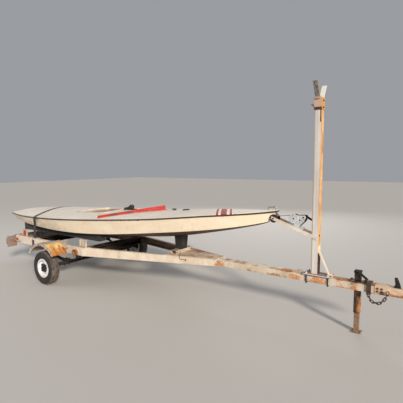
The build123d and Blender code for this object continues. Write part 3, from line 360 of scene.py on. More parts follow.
def hullGelcoat():
    sizes = {"colour": (0.78, 0.66, 0.50), "faded": (0.86, 0.75, 0.60), "stain": (0.46, 0.34, 0.21),
             "underShade": (0.055, 0.030, 0.013), "olive": (0.12, 0.083, 0.03), "scuff": (0.55, 0.47, 0.38)}
    paint = Finish("hullGelcoat")
    boat = onBoat(paint)
    x, z = boat.split("xz")
    fade = boat.placed(scale=(1, 1, 3)).noise(3.0, 5).ramp(0.3, 0.72)
    paint.base = fade.between(sizes["colour"], sizes["faded"])
    paint.cover(boat.runs(34.0, 2.0) * z.ramp(0.04, 0.33, 0.28, 0.08), sizes["stain"])
    # Darker smudges towards the stern: grime, and painted dappled shade
    aftShadeSmudge = boat.placed(scale=(2.2, 2, 5)).noise(2.4, 6, 0.6).ramp(0.38, 0.62)
    paint.cover(x.ramp(-0.55, -1.35, 0.0, 0.55) * aftShadeSmudge, sizes["stain"])
    under = paint.normal.axis("z").ramp(-0.55, -0.80)  # the bottom planes, painted dark brown as their shade, with road grime
    # Painted shade on the bottom planes, mottled with road grime
    underShadeAndMuck = under * boat.noise(9, 7, 0.7).ramp(0.25, 0.62, 0.90, 1.0)
    paint.cover(underShadeAndMuck, boat.noise(5, 6, 0.6).ramp(0.48, 0.66).between(sizes["underShade"], sizes["olive"]))
    paint.cover(boat.placed(scale=(7, 30, 90)).noise(1.0, 5, 0.7).ramp(0.66, 0.74) * 0.5, sizes["scuff"])
    paint.cover(boat.noise(150, 4, 0.8).ramp(0.66, 0.76) * 0.45, sizes["stain"])
    paint.cover(boat.wear(0.006, 50.0, 0.35) * 0.5, sizes["scuff"])
    paint.bump(boat.noise(7, 2) + boat.grain(420.0, 30.0) * 0.3, 0.0012)
    dull = (boat.noise(22, 5).ramp(0.3, 0.8, 0.28, 0.5) + underShadeAndMuck * 0.45).capped()
    return paint.give(Roughness=dull, Coat_Weight=0.05, Coat_Roughness=0.18)


def railMetal():
    sizes = {"colour": (0.040, 0.035, 0.028), "bare": (0.30, 0.28, 0.25), "grime": (0.020, 0.016, 0.012)}
    paint = Finish("railMetal")
    patches = paint.at.placed(scale=(3, 3, 30)).noise(4.0, 7, 0.7).ramp(0.5, 0.72)
    paint.base = patches.between(sizes["colour"], sizes["grime"])
    wear = paint.at.wear(0.0015, 70.0, 0.22)
    paint.cover(wear, sizes["bare"])
    paint.bump(paint.at.grain(600.0, 60.0), 0.0006)
    return paint.give(Roughness=patches.ramp(0, 1, 0.42, 0.7), Metallic=wear * 0.9)


def splashRed():
    sizes = {"colour": (0.38, 0.016, 0.010), "faded": (0.46, 0.034, 0.022), "edge": (0.66, 0.55, 0.49),
             "grime": (0.14, 0.022, 0.018), "dark": ((0.245, 0.05), (0.115, 0.06))}
    paint = Finish("splashRed")
    boat = onBoat(paint)
    up = paint.normal.axis("z").ramp(0.55, 0.85)
    fade = boat.noise(9, 6, 0.65).ramp(0.42, 0.75)
    paint.base = fade.between(sizes["colour"], sizes["faded"])
    x = boat.axis("x")
    for middle, reach in sizes["dark"]:  # dark bands across the blade, painted as shade
        band = (x - middle).math("ABSOLUTE").ramp(reach, reach * 0.3) * boat.noise(45, 5, 0.7).ramp(0.36, 0.52)
        paint.cover(band * 0.9, sizes["grime"])
    paint.cover(boat.noise(70, 6, 0.7).ramp(0.62, 0.70) * 0.6, sizes["grime"])
    # Upward faces painted pale as a highlight, together with bare worn edges
    paint.cover((up * 0.92).most(boat.wear(0.0015, 45.0, 0.30)), sizes["edge"])
    paint.bump(boat.grain(500.0, 50.0), 0.0006)
    return paint.give(Roughness=fade.ramp(0, 1, 0.32, 0.55), Coat_Weight=0.1)


def darkFitting():
    sizes = {"colour": (0.015, 0.014, 0.014), "worn": (0.09, 0.08, 0.07), "dust": (0.26, 0.20, 0.15)}
    paint = Finish("darkFitting")
    paint.base = paint.at.wear(0.002, 120.0, 0.5).between(sizes["colour"], sizes["worn"])
    paint.dust(sizes["dust"], 40.0, 0.22)
    grain = paint.at.grain(900.0, 120.0)
    paint.bump(grain, 0.0004)
    return paint.give(Roughness=grain.ramp(0.3, 0.7, 0.4, 0.65))


def brightMetal():
    sizes = {"colour": (0.56, 0.54, 0.50), "dull": (0.30, 0.275, 0.24), "tea": (0.36, 0.18, 0.08)}
    paint = Finish("brightMetal")
    dull = paint.at.noise(60, 6, 0.65).ramp(0.4, 0.7)
    paint.base = dull.between(sizes["colour"], sizes["dull"])
    stain = paint.at.rust(50.0, 0.28)[0]
    paint.cover(stain * 0.7, sizes["tea"])
    paint.bump(paint.at.placed(scale=(1500, 90, 90)).noise(1.0, 2), 0.0003)
    return paint.give(Metallic=stain.ramp(0, 1, 1.0, 0.2), Roughness=dull.ramp(0, 1, 0.26, 0.52))


# Straps

def strapWebbing(name, colour, faded, across):
    # across is the axis that the band's width lies along
    sizes = {"shade": (0.015, 0.010, 0.009), "dust": (0.26, 0.19, 0.15)}
    paint = Finish(name)
    parts = paint.at.split()
    along = parts[2] + (parts[1] if across == 0 else parts[0])
    weave = parts[across].effect("wovenBand", Along=along, Cords=1250.0, Picks=1900.0)
    fade = paint.at.noise(11, 6, 0.65).ramp(0.35, 0.72)
    paint.base = fade.between(colour, faded)
    paint.cover(weave.ramp(0.55, -0.1, 0.0, 0.55), sizes["shade"])
    paint.dust(sizes["dust"], 26.0, 0.12)
    paint.bump(weave, 0.0009)
    return paint.give(Roughness=fade.ramp(0, 1, 0.75, 0.92), Sheen_Weight=0.1)


# Trailer

frameRust = {
    # Middle along, middle height, half length and half height of the patches on the tongue, in millimetres
    "patches": ((2075, 401, 48, 36), (2891, 400, 62, 30), (3117, 400, 72, 38), (3311, 372, 90, 18),
                (3427, 392, 20, 28)),
    "lineTop": 446, "lineLow": 438, "lineFrom": 2100,
}


def frameRustPlace(paint):
    # Rust grows forward along the tongue, low on each member, under it and in a line below the tongue's top edge
    x, z = paint.at.split("xz")
    low = z.ramp(0.425, 0.362, 0.0, 0.11) * x.ramp(-0.4, 1.0, 0.2, 1.0)
    under = paint.normal.axis("z").ramp(-0.3, -0.9, 0.0, 0.14)
    start = frameRust["lineFrom"] / 1000 + axleX
    line = z.ramp(frameRust["lineLow"] / 1000, frameRust["lineTop"] / 1000) * x.ramp(start, start + 0.05, 0.0, 0.12)
    return x.ramp(0.6, 2.2, 0.0, 0.035) + low + (under + line)


def creamPaint(name, sizes):
    # Aged cream paint over steel: chalky and mottled, speckled and blistered with rust, bare along its edges
    paint = Finish(name)
    at = paint.at
    stain = sizes["stain"]
    chalky = at.noise(5, 6).ramp(0.35, 0.68)
    paint.base = chalky.between(sizes["colour"], sizes["chalk"])
    paint.cover(at.placed(scale=(1, 1, 2.4)).noise(12, 8, 0.7).ramp(0.50, 0.78) * sizes["blotch"], stain)
    paint.cover(at.runs(60.0, 9.0) * sizes["runs"], stain)
    bias = sizes["place"](paint) if "place" in sizes else 0.0
    mask, colour, height = at.rust(sizes["scale"], sizes["rust"], bias)
    spots = (at.noise(95, 6, 0.75).ramp(0.62, 0.69) * 0.8).most(at.noise(210, 4, 0.75).ramp(0.66, 0.74) * 0.6)
    rusted = mask.most((at.wear(0.0035, 36.0, sizes["wear"]) * 0.9).most(spots))
    paint.cover(at.rust(sizes["scale"], sizes["rust"] + 0.06, bias)[0] * 0.4, stain)
    paint.cover(rusted, colour)
    orange = colour.towards(sizes["patch"], 0.65) if "patches" in sizes else None
    for x, z, halfLength, halfHeight in sizes.get("patches", ()):
        patch = at.effect("rustPatch", Middle_X=x / 1000 + axleX, Middle_Z=z / 1000,
                          Half_Length=halfLength / 1000, Half_Height=halfHeight / 1000)
        patch = patch * at.noise(42, 7, 0.75).ramp(0.38, 0.50)
        paint.cover(patch * 0.9, orange)
        rusted = rusted.most(patch)
    if "inner" in sizes:  # faces that look inwards, under the boat, are painted dark as their shade, in a mottle
        turned = at.axis("y") * paint.normal.axis("y")
        innerShadeMottle = at.placed(scale=(1, 1, 3)).noise(6, 6, 0.65).ramp(0.25, 0.60, 0.72, 0.97)
        paint.cover(turned.ramp(*sizes["turned"]) * innerShadeMottle, sizes["inner"])
    paint.dust(sizes["dust"], 16.0, 0.22)
    if "lapped" in sizes:  # the post's paint, where the winch's arms lap over it
        (low, high), (x, z) = sizes["lapX"], at.split("xz")
        paint.cover(x.ramp(low + axleX, high + axleX) * z.ramp(*sizes["lapZ"]), sizes["lapped"])
    paint.bump(at.grain(520.0, 60.0) * 0.5 - height * 0.55, 0.0016)
    return paint.give(Roughness=(chalky.ramp(0, 1, 0.48, 0.62) + rusted * 0.32).capped())


creams = {
    "framePaint": {
        "colour": (0.59, 0.50, 0.395), "chalk": (0.68, 0.61, 0.515), "stain": (0.38, 0.245, 0.145),
        "dust": (0.36, 0.28, 0.20), "blotch": 0.36, "runs": 0.28, "scale": 7.5, "rust": 0.325, "wear": 0.36,
        # inner and turned: inward faces under the boat painted dark brown as their shade
        "inner": (0.085, 0.047, 0.026), "turned": (-0.05, -0.11), "patch": (0.66, 0.25, 0.07),
        "patches": frameRust["patches"], "place": frameRustPlace},
    "winchPaint": {  # the winch's cheeks: bluish zinc outside, painted near black inside as the shade between them
        "colour": (0.40, 0.43, 0.46), "chalk": (0.56, 0.59, 0.62), "stain": (0.20, 0.16, 0.13),
        "dust": (0.40, 0.36, 0.32), "blotch": 0.35, "runs": 0.2, "scale": 30.0, "rust": 0.33, "wear": 0.35,
        "inner": (0.014, 0.012, 0.013), "turned": (-0.012, -0.020)},
    "armPaint": {  # brighter cream with little rust, on the winch's arms and the post's brace
        "colour": (0.64, 0.55, 0.44), "chalk": (0.76, 0.69, 0.60), "stain": (0.40, 0.26, 0.16),
        "dust": (0.42, 0.34, 0.25), "blotch": 0.3, "runs": 0.2, "scale": 14.0, "rust": 0.32, "wear": 0.34,
        "lapped": (0.60, 0.57, 0.535), "lapX": (3.050, 3.053), "lapZ": (0.70, 0.72)},
    "bracketPaint": {  # the bunks' brackets and the cradle's beam: greyer cream, with brown blotches, runs and rust
        "colour": (0.44, 0.375, 0.31), "chalk": (0.53, 0.475, 0.41), "stain": (0.24, 0.13, 0.085),
        "dust": (0.30, 0.23, 0.16), "blotch": 0.5, "runs": 0.4, "scale": 16.0, "rust": 0.36, "wear": 0.45},
    "platePaint": {  # the rear crossbeam and its lamp plates: dull grey-brown paint, darkened as painted shade, rusting at every edge
        "colour": (0.19, 0.145, 0.12), "chalk": (0.26, 0.21, 0.18), "stain": (0.12, 0.062, 0.042),
        "dust": (0.30, 0.23, 0.17), "blotch": 0.6, "runs": 0.4, "scale": 14.0, "rust": 0.37, "wear": 0.5},
    "gussetPaint": {  # pinkish tan with brown stains, which run together towards the far rail as painted shade there
        "colour": (0.56, 0.42, 0.31), "chalk": (0.64, 0.51, 0.40), "stain": (0.24, 0.14, 0.085),
        "dust": (0.40, 0.28, 0.19), "blotch": 0.7, "runs": 0.3, "scale": 8.0, "rust": 0.37, "wear": 0.5,
        "place": lambda paint: paint.at.axis("y").ramp(0.02, 0.12, 0.0, 0.13)},
    "couplerPaint": {  # pinkish cream on top, orange rust along its lower side
        "colour": (0.60, 0.43, 0.31), "chalk": (0.68, 0.54, 0.42), "stain": (0.40, 0.20, 0.09),
        "dust": (0.44, 0.32, 0.22), "blotch": 0.55, "runs": 0.3, "scale": 13.0, "rust": 0.38, "wear": 0.45,
        "place": lambda paint: paint.at.axis("z").ramp(0.415, 0.375, 0.0, 0.16)},
}
creamFinishes = {name: creamPaint(name, sizes) for name, sizes in creams.items()}


def crutchPaint():
    # The collar is pinkish at its sides and orange in front; one prong is weathered dark, the other pale
    sizes = {"side": (0.50, 0.35, 0.27), "front": (0.56, 0.27, 0.09), "ochre": (0.46, 0.27, 0.06),
             "darkProng": (0.13, 0.105, 0.085), "darkStripe": (0.34, 0.30, 0.26),
             "paleProng": (0.66, 0.65, 0.58), "shade": (0.075, 0.022, 0.014),
             "collarTop": 2.038, "shadeTop": 1.953}
    paint = Finish("crutchPaint")
    at = paint.at
    y, z = at.split("yz")
    facing = paint.normal.axis("x")
    streaks = at.placed(scale=(90, 90, 6)).noise(1.0, 5, 0.7).ramp(0.40, 0.62)
    paint.base = facing.ramp(0.4, 0.8).between(sizes["side"], streaks.between(sizes["front"], sizes["ochre"]))
    ragged = z + at.noise(40, 5) * 0.012
    paint.cover(facing.ramp(0.8, 0.4) * ragged.ramp(sizes["shadeTop"] + 0.012, sizes["shadeTop"] + 0.004),
                sizes["shade"])
    dark = streaks.between(sizes["darkProng"], sizes["darkStripe"])
    paint.cover(z.ramp(sizes["collarTop"] - 0.002, sizes["collarTop"] + 0.006),
                y.ramp(-0.004, 0.004).between(dark, sizes["paleProng"]))
    mask, colour, height = at.rust(20.0, 0.34)
    rusted = mask.most(at.wear(0.003, 60.0, 0.35) * 0.8)
    paint.cover(rusted, colour)
    paint.bump(at.grain(520.0, 70.0) - height * 0.5, 0.0012)
    return paint.give(Roughness=rusted.ramp(0, 1, 0.55, 0.85))


def postPaint():
    # The mast post: greyed paint at the sides, a sheet of orange rust down its forward face, painted near black low
    # on that face as the brace's shadow
    sizes = {"colour": (0.55, 0.515, 0.475), "chalk": (0.67, 0.65, 0.63), "darkBrown": (0.28, 0.20, 0.15),
             "sheet": (0.60, 0.32, 0.11), "sheetPale": (0.68, 0.46, 0.25), "sheetDeep": (0.44, 0.19, 0.05),
             "ring": (0.74, 0.64, 0.42), "foot": (0.055, 0.022, 0.013), "braceShadowTop": 0.655, "ringTop": 0.705,
             "darkStripX": 3.099, "darkStripZ": 1.825, "aftX": 3.058}
    paint = Finish("postPaint")
    at = paint.at
    x, z = at.split("xz")
    facing = paint.normal.axis("x")
    tall = at.placed(scale=(1.0, 1.0, 0.16))
    braceShadowTop, ringTop = sizes["braceShadowTop"], sizes["ringTop"]
    sheet = tall.noise(42, 6, 0.65).ramp(0.42, 0.62).between(sizes["sheet"], sizes["sheetPale"])
    sheet = at.placed(scale=(1, 1, 0.3)).noise(26, 7, 0.7).ramp(0.47, 0.61).between(sheet, sizes["sheetDeep"])
    ring = z.ramp(braceShadowTop, braceShadowTop + 0.02) * z.ramp(ringTop + 0.03, ringTop, 0.0, 0.9)
    sheet = ring.between(sheet, sizes["ring"])
    # Painted shadow of the brace: the forward face goes near black below its top
    sheet = z.ramp(braceShadowTop + 0.006, braceShadowTop - 0.006).between(sheet, sizes["foot"])
    paint.base = tall.noise(16, 6).ramp(0.35, 0.68).between(sizes["colour"], sizes["chalk"])
    paint.cover(at.runs(95.0, 1.6) * 0.30, sizes["darkBrown"])
    aftEdge, darkStripEdge = sizes["aftX"] + axleX, sizes["darkStripX"] + axleX
    # A darker brown strip along the aft edge
    paint.cover(x.ramp(aftEdge + 0.004, aftEdge - 0.004, 0.0, 0.75), sizes["darkBrown"])
    front = facing.ramp(0.5, 0.8)
    paint.cover(front, sheet)
    # A dark strip down the forward edge of each side face, high up
    slot = z.ramp(sizes["darkStripZ"] - 0.004, sizes["darkStripZ"] + 0.004) * facing.ramp(0.8, 0.5)
    paint.cover(x.ramp(darkStripEdge - 0.001, darkStripEdge + 0.001) * slot, sizes["foot"])
    mask, colour, height = tall.rust(22.0, 0.32, z.ramp(1.75, 2.0, 0.0, 0.05))
    rusted = mask.most(at.wear(0.004, 30.0, 0.38) * 0.7) * front.ramp(0, 1, 1.0, 0.35)
    paint.cover(rusted, colour)
    paint.bump(at.grain(520.0, 70.0) * 0.5 - height * 0.5, 0.0015)
    return paint.give(Roughness=(rusted.most(front) * 0.3 + 0.55).capped())


def fenderPaint():
    # Mottled grey-pink paint, darkened on top as painted shade and paler down the sides, ochre rust on the forward
    # slope, creased with brown
    sizes = {"colour": (0.26, 0.205, 0.165), "chalk": (0.40, 0.335, 0.285), "mottle": (0.12, 0.075, 0.05),
             "yellow": (0.74, 0.47, 0.18), "orange": (0.38, 0.125, 0.018), "crease": (0.085, 0.040, 0.012),
             "side": (0.46, 0.405, 0.365), "rustFrom": axleX + 0.085, "rustTo": axleX + 0.15,
             "deepTo": axleX + 0.29}
    paint = Finish("fenderPaint")
    at = paint.at
    sideways = paint.normal.axis("y").math("ABSOLUTE")
    # The base colour on top is darkened as painted dappled shade
    paint.base = at.noise(13, 6, 0.65).ramp(0.35, 0.65).between(sizes["colour"], sizes["chalk"])
    paint.cover(at.noise(32, 6, 0.7).ramp(0.54, 0.68) * 0.55, sizes["mottle"])
    along = at.axis("x") + (at.noise(11, 5, 0.6) - 0.5) * 0.16
    slope = along.ramp(sizes["rustFrom"], sizes["rustTo"]) * sideways.ramp(0.75, 0.45)
    ochre = along.ramp(sizes["rustTo"], sizes["deepTo"]).between(sizes["yellow"], sizes["orange"])
    mask, colour, height = at.rust(9.0, 0.37)
    ochre = (mask * 0.45).between(ochre, colour)
    creases = at.placed(rotation=(0, 0, 0.9), scale=(9, 34, 9)).noise(1.0, 6, 0.7).ramp(0.51, 0.62)
    paint.cover(slope, (creases * 0.8).between(ochre, sizes["crease"]))
    paint.cover(sideways.ramp(0.5, 0.85, 0.0, 0.85),
                at.noise(26, 7, 0.7).ramp(0.46, 0.64).between(sizes["side"], sizes["mottle"]))
    paint.cover(at.wear(0.003, 40.0, 0.4) * 0.8, colour)
    paint.bump(at.grain(480.0, 40.0) * 0.5 - height * 0.5, 0.0018)
    return paint.give(Roughness=(slope * 0.3 + 0.5).capped())


def rustedSteel(name, dark, bright, scale, share):
    worn = (0.50, 0.27, 0.12)
    paint = Finish(name)
    at = paint.at
    mask, colour, height = at.rust(scale, 0.5)
    paint.base = at.noise(scale * 1.7, 8, 0.7).ramp(0.35, 0.66).between(dark, bright)
    paint.cover(mask * share, colour)
    paint.cover(at.wear(0.002, 70.0, 0.4) * share, worn)
    grain = at.grain(420.0, 75.0)
    paint.bump(grain + height * 0.6, 0.0022)
    return paint.give(Roughness=grain.ramp(0.3, 0.7, 0.72, 0.92), Metallic=0.1)


def basePaint():
    # The post's base plate: dark on top, pinkish at its edge, black where it meets the tongue and down its rods
    sizes = {"top": (0.15, 0.12, 0.13), "topPale": (0.36, 0.25, 0.21), "edge": (0.66, 0.50, 0.46),
             "edgePale": (0.74, 0.64, 0.60), "dark": (0.012, 0.008, 0.007), "worn": (0.40, 0.22, 0.11),
             "plateLow": 0.4525, "rodTop": 0.449}
    paint = Finish("basePaint")
    at = paint.at
    z = at.axis("z")
    mottled = at.noise(40, 6, 0.7).ramp(0.40, 0.64)
    top = mottled.between(sizes["top"], sizes["topPale"])
    edge = mottled.between(sizes["edge"], sizes["edgePale"])
    paint.base = paint.normal.axis("z").ramp(0.4, 0.8).between(edge, top)
    paint.cover(z.ramp(sizes["plateLow"] + 0.001, sizes["plateLow"] - 0.001), sizes["dark"])
    mask, colour, height = at.rust(30.0, 0.33)
    paint.cover(mask * (z.ramp(sizes["rodTop"] - 0.001, sizes["rodTop"] + 0.001) * 0.8), colour)
    paint.cover(at.wear(0.002, 80.0, 0.3) * 0.3, sizes["worn"])
    paint.bump(at.grain(520.0, 80.0) - height * 0.5, 0.0012)
    return paint.give(Roughness=mottled.ramp(0, 1, 0.6, 0.85))


def jackPaint():
    # The jack's tube: near black, with a painted patch of sunlit orange low down on its forward side
    sizes = {"dark": (0.018, 0.011, 0.008), "brown": (0.085, 0.038, 0.018), "orange": (0.52, 0.21, 0.06),
             "worn": (0.42, 0.22, 0.11), "dust": (0.46, 0.38, 0.31), "litTop": 0.340, "litLow": 0.185,
             "litX": (3.443, 3.462)}
    paint = Finish("jackPaint")
    at = paint.at
    x, z = at.split("xz")
    tall = at.placed(scale=(1.0, 1.0, 0.3))
    paint.base = tall.noise(34, 7, 0.7).ramp(0.40, 0.66).between(sizes["dark"], sizes["brown"])
    high, low = sizes["litTop"], sizes["litLow"]
    aft, fore = (edge + axleX for edge in sizes["litX"])
    lit = z.ramp(high, high - 0.05) * z.ramp(low - 0.01, low + 0.01) * x.ramp(aft, fore)
    lit = lit * tall.noise(30, 6, 0.7).ramp(0.30, 0.50)
    paint.cover(lit, sizes["orange"])
    paint.cover(at.wear(0.003, 60.0, 0.4) * 0.5, sizes["worn"])
    paint.dust(sizes["dust"], 30.0, 0.5)
    paint.bump(at.grain(420.0, 75.0), 0.0016)
    return paint.give(Roughness=lit.ramp(0, 1, 0.65, 0.85))


def zincSteel():
    sizes = {"colour": (0.60, 0.62, 0.63), "dark": (0.30, 0.30, 0.29), "white": (0.80, 0.82, 0.82)}
    paint = Finish("zincSteel")
    at = paint.at
    spangle = at.into("ShaderNodeTexVoronoi", {"Vector": at, "Scale": 140.0}, "Color").axis("x")
    paint.base = spangle.ramp(0.1, 0.9, 0.2, 0.75).between(sizes["colour"], sizes["white"])
    paint.cover(at.noise(30, 7, 0.7).ramp(0.52, 0.72, 0.0, 0.7), sizes["dark"])
    mask, colour = at.rust(30.0, 0.30)[:2]
    paint.cover(mask, colour)
    paint.cover(at.wear(0.002, 90.0, 0.4), sizes["dark"])
    paint.bump(at.grain(700.0, 110.0), 0.0005)
    return paint.give(Metallic=mask.ramp(0, 1, 0.30, 0.0), Roughness=spangle.ramp(0, 1, 0.42, 0.58))


def blackRubber():
    sizes = {"colour": (0.014, 0.013, 0.012), "chalk": (0.050, 0.044, 0.038), "dust": (0.27, 0.21, 0.15)}
    paint = Finish("blackRubber")
    bloom = paint.at.noise(28, 7, 0.7).ramp(0.4, 0.75)
    paint.base = bloom.between(sizes["colour"], sizes["chalk"])
    paint.dust(sizes["dust"], 30.0, 0.5)
    paint.bump(paint.at.grain(900.0, 150.0), 0.0007)
    return paint.give(Roughness=bloom.ramp(0, 1, 0.6, 0.85))


def bunkCarpet():
    # Near black, darkened further as painted shade under the hull, and darker between the tufts as painted shade
    sizes = {"colour": (0.007, 0.007, 0.008), "tips": (0.022, 0.019, 0.017),
             "between": (0.006, 0.006, 0.006), "dust": (0.10, 0.075, 0.055)}
    paint = Finish("bunkCarpet")
    tufts = paint.at.into("ShaderNodeTexVoronoi", {"Vector": paint.at, "Scale": 420.0}, "Distance")
    fray = paint.at.noise(60, 6, 0.7)
    paint.base = fray.ramp(0.4, 0.7).between(sizes["colour"], sizes["tips"])
    paint.cover(tufts.ramp(0.2, 0.6, 0.0, 0.6), sizes["between"])
    paint.dust(sizes["dust"], 18.0, 0.12)
    paint.bump(fray - tufts, 0.004)
    return paint.give(Roughness=fray.ramp(0, 1, 0.9, 1.0), Sheen_Weight=0.1)


def redLens():
    sizes = {"colour": (0.30, 0.012, 0.010), "faded": (0.46, 0.10, 0.07), "dust": (0.33, 0.25, 0.18),
             "rib": 0.0052}
    paint = Finish("redLens")
    ribs = (paint.at.axis("y") * (math.pi / sizes["rib"])).math("SINE").math("ABSOLUTE")
    fade = paint.at.noise(35, 6).ramp(0.4, 0.7)
    paint.base = fade.between(sizes["colour"], sizes["faded"])
    paint.dust(sizes["dust"], 30.0, 0.6)
    paint.bump(ribs, 0.0012)
    return paint.give(Roughness=fade.ramp(0, 1, 0.18, 0.45), Coat_Weight=0.4, Coat_Roughness=0.1)


def wheelRadius(paint):
    # How far a place is from the axle, seen from the side
    x, z = paint.at.placed((-axleX, 0, -wheelZ)).split("xz")
    return (x * x + z * z).math("SQRT")


def tyreRubber():
    sizes = {"colour": (0.010, 0.009, 0.009), "grey": (0.030, 0.027, 0.025), "dust": (0.20, 0.155, 0.125),
             "tread": (0.180, 0.205)}
    paint = Finish("tyreRubber")
    at = paint.at
    bloom = at.noise(13, 7, 0.68).ramp(0.32, 0.72)
    paint.base = bloom.between(sizes["colour"], sizes["grey"])
    tread = wheelRadius(paint).ramp(*sizes["tread"])
    paint.cover(at.noise(24, 7, 0.7).ramp(0.3, 0.66) * (tread * 0.70 + 0.03), sizes["dust"])
    crazing = at.into("ShaderNodeTexVoronoi", {"Vector": at, "Scale": 210.0}, "Distance",
                      feature="DISTANCE_TO_EDGE")
    paint.bump(at.grain(800.0, 90.0) + crazing.ramp(0.0, 0.08, -0.5, 0.0), 0.0007)
    return paint.give(Roughness=bloom.ramp(0, 1, 0.7, 0.9))


def wheelPaint():
    sizes = {"colour": (0.82, 0.83, 0.84), "grey": (0.50, 0.50, 0.50), "greaseAndShade": (0.018, 0.015, 0.014),
             "greasyAndShaded": (0.066, 0.050)}
    paint = Finish("wheelPaint")
    at = paint.at
    fade = at.noise(22, 6).ramp(0.38, 0.7)
    paint.base = fade.between(sizes["colour"], sizes["grey"])
    mask, colour = at.rust(24.0, 0.28)[:2]
    paint.cover(mask.most(at.wear(0.002, 80.0, 0.3) * 0.85), colour)
    # A dark ring round the hub: grease, and painted shade of the dished disc
    greasyAndShaded = wheelRadius(paint).ramp(*sizes["greasyAndShaded"])
    paint.cover(greasyAndShaded * at.noise(40, 6).ramp(0.2, 0.5, 0.6, 1.0), sizes["greaseAndShade"])
    paint.bump(at.grain(600.0, 80.0), 0.0007)
    return paint.give(Roughness=fade.ramp(0, 1, 0.4, 0.6))


finishes = {
    "hull_gelcoat": hullGelcoat(),
    "deck_gelcoat": deckGelcoat(),
    "rub_rail": railMetal(),
    "splash_red": splashRed(),
    "deck_fitting": darkFitting(),
    "fitting_metal": brightMetal(),
    "strap_webbing": strapWebbing("strapWebbing", (0.016, 0.007, 0.009), (0.040, 0.020, 0.021), 0),
    "winch_webbing": strapWebbing("winchWebbing", (0.25, 0.175, 0.22), (0.40, 0.33, 0.36), 1),
    "frame_paint": creamFinishes["framePaint"],
    # The axle and springs: near black, painted as the shade under the frame
    "rusted_steel": rustedSteel("rustedSteel", (0.008, 0.006, 0.006), (0.028, 0.017, 0.015), 9.0, 0.02),
    "dark_steel": rustedSteel("darkSteel", (0.016, 0.012, 0.011), (0.085, 0.042, 0.025), 30.0, 0.30),
    "zinc_steel": zincSteel(),
    "black_rubber": blackRubber(),
    "bunk_carpet": bunkCarpet(),
    "red_lens": redLens(),
    "tyre_rubber": tyreRubber(),
    "wheel_paint": wheelPaint(),
}

# Finishes of nodes that have weathered in a way of their own
ownFinishes = (
    (postPaint(), ("mast_post",)),
    (crutchPaint(), ("mast_crutch",)),
    (creamFinishes["couplerPaint"], ("coupler",)),
    (creamFinishes["gussetPaint"], ("gusset_plate",)),
    (tubGelcoat(), ("cockpit_tub",)),
    (fenderPaint(), ("fender_near", "fender_far")),
    (creamFinishes["armPaint"], ("winch_arms", "post_brace")),
    (creamFinishes["bracketPaint"], ("bunk_brackets", "cradle_beam")),
    (creamFinishes["platePaint"], ("lamp_plates", "rear_crossbeam")),
    (creamFinishes["winchPaint"], ("winch_frame",)),
    (basePaint(), ("post_base",)),
    (jackPaint(), ("jack_tube",)),
    (rustedSteel("legSteel", (0.12, 0.095, 0.065), (0.30, 0.24, 0.17), 24.0, 0.3), ("jack_leg",)),
    (rustedSteel("tubeSteel", (0.12, 0.045, 0.020), (0.42, 0.18, 0.070), 16.0, 0.5), ("cross_tube",)),
    (rustedSteel("chainSteel", (0.018, 0.014, 0.015), (0.085, 0.060, 0.056), 40.0, 0.14), ("safety_chain",)),
    (rustedSteel("blackSteel", (0.008, 0.007, 0.007), (0.026, 0.018, 0.014), 40.0, 0.0),
     ("hub_near", "hub_far", "winch_crank", "winch_drum", "coupler_latch", "jack_crank")),
)
print("materials made:", len(finishes) + len(ownFinishes))


def setMaterial(piece, material):
    piece.data.materials.clear()
    piece.data.materials.append(material)


for entry in frame["record"]["subparts"]:  # the record says which slot each node takes its finish from
    setMaterial(nodes[entry["node"]], finishes[entry["material_slot"]])
for material, names in ownFinishes:
    for name in names:
        setMaterial(nodes[name], material)


# Helpers for modelled pieces

def spot(x, y, z):
    # A place on the trailer: millimetres forward of the axle, to port and above the ground
    return Vector((x / 1000 + axleX, y / 1000, z / 1000))


levelTurn = Matrix.Rotation(-boatPlace["pitch"], 3, "Y")


def boatSpot(x, y, z):
    # A place on the level boat in millimetres, put where the boat sits on its trailer
    return levelTurn @ Vector((x / 1000, y / 1000, z / 1000)) + boatBase


def addObject(name, data):
    made = bpy.data.objects.new(name, data)
    bpy.context.scene.collection.objects.link(made)
    return made


def addPiece(name, mesh, slotName, body="trailer", smooth=True):
    piece = addObject(name, mesh)
    if not mesh.materials:
        mesh.materials.append(finishes[slotName])
    if smooth:
        mesh.shade_smooth()
    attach(piece, body)
    return piece


def startTree(name, inputs):
    # A tree that takes a geometry, the named numbers and a material
    tree = bpy.data.node_groups.new(name, "GeometryNodeTree")
    tree.interface.new_socket("Geometry", in_out="INPUT", socket_type="NodeSocketGeometry")
    for label, value in inputs.items():
        kind = "NodeSocketInt" if isinstance(value, int) else "NodeSocketFloat"
        tree.interface.new_socket(label, in_out="INPUT", socket_type=kind).default_value = value
    tree.interface.new_socket("Material", in_out="INPUT", socket_type="NodeSocketMaterial")
    tree.interface.new_socket("Geometry", in_out="OUTPUT", socket_type="NodeSocketGeometry")
    sockets = tree.nodes.new("NodeGroupInput").outputs
    return tree, {label: Wire(tree, sockets[label]) for label in ("Geometry", *inputs, "Material")}


def endTree(tree, geometry, given):
    real = geometry.into("GeometryNodeRealizeInstances", {0: geometry})
    painted = real.into("GeometryNodeSetMaterial", {"Geometry": real, "Material": given["Material"]})
    putValues(tree, tree.nodes.new("NodeGroupOutput"), {"Geometry": painted})
    return tree


def growMesh(name, seedMesh, tree, values):
    # Runs a tree on a seed mesh and gives back the plain mesh that comes of it
    seedPiece = addObject(name + "Seed", seedMesh)
    modifier = seedPiece.modifiers.new("grow", "NODES")
    modifier.node_group = tree
    for item in tree.interface.items_tree:
        if item.item_type == "SOCKET" and item.in_out == "INPUT" and item.name in values:
            modifier[item.identifier] = values[item.name]
    graph = bpy.context.evaluated_depsgraph_get()
    grown = bpy.data.meshes.new_from_object(seedPiece.evaluated_get(graph), depsgraph=graph)
    bpy.data.objects.remove(seedPiece)
    grown.name = name
    return grown


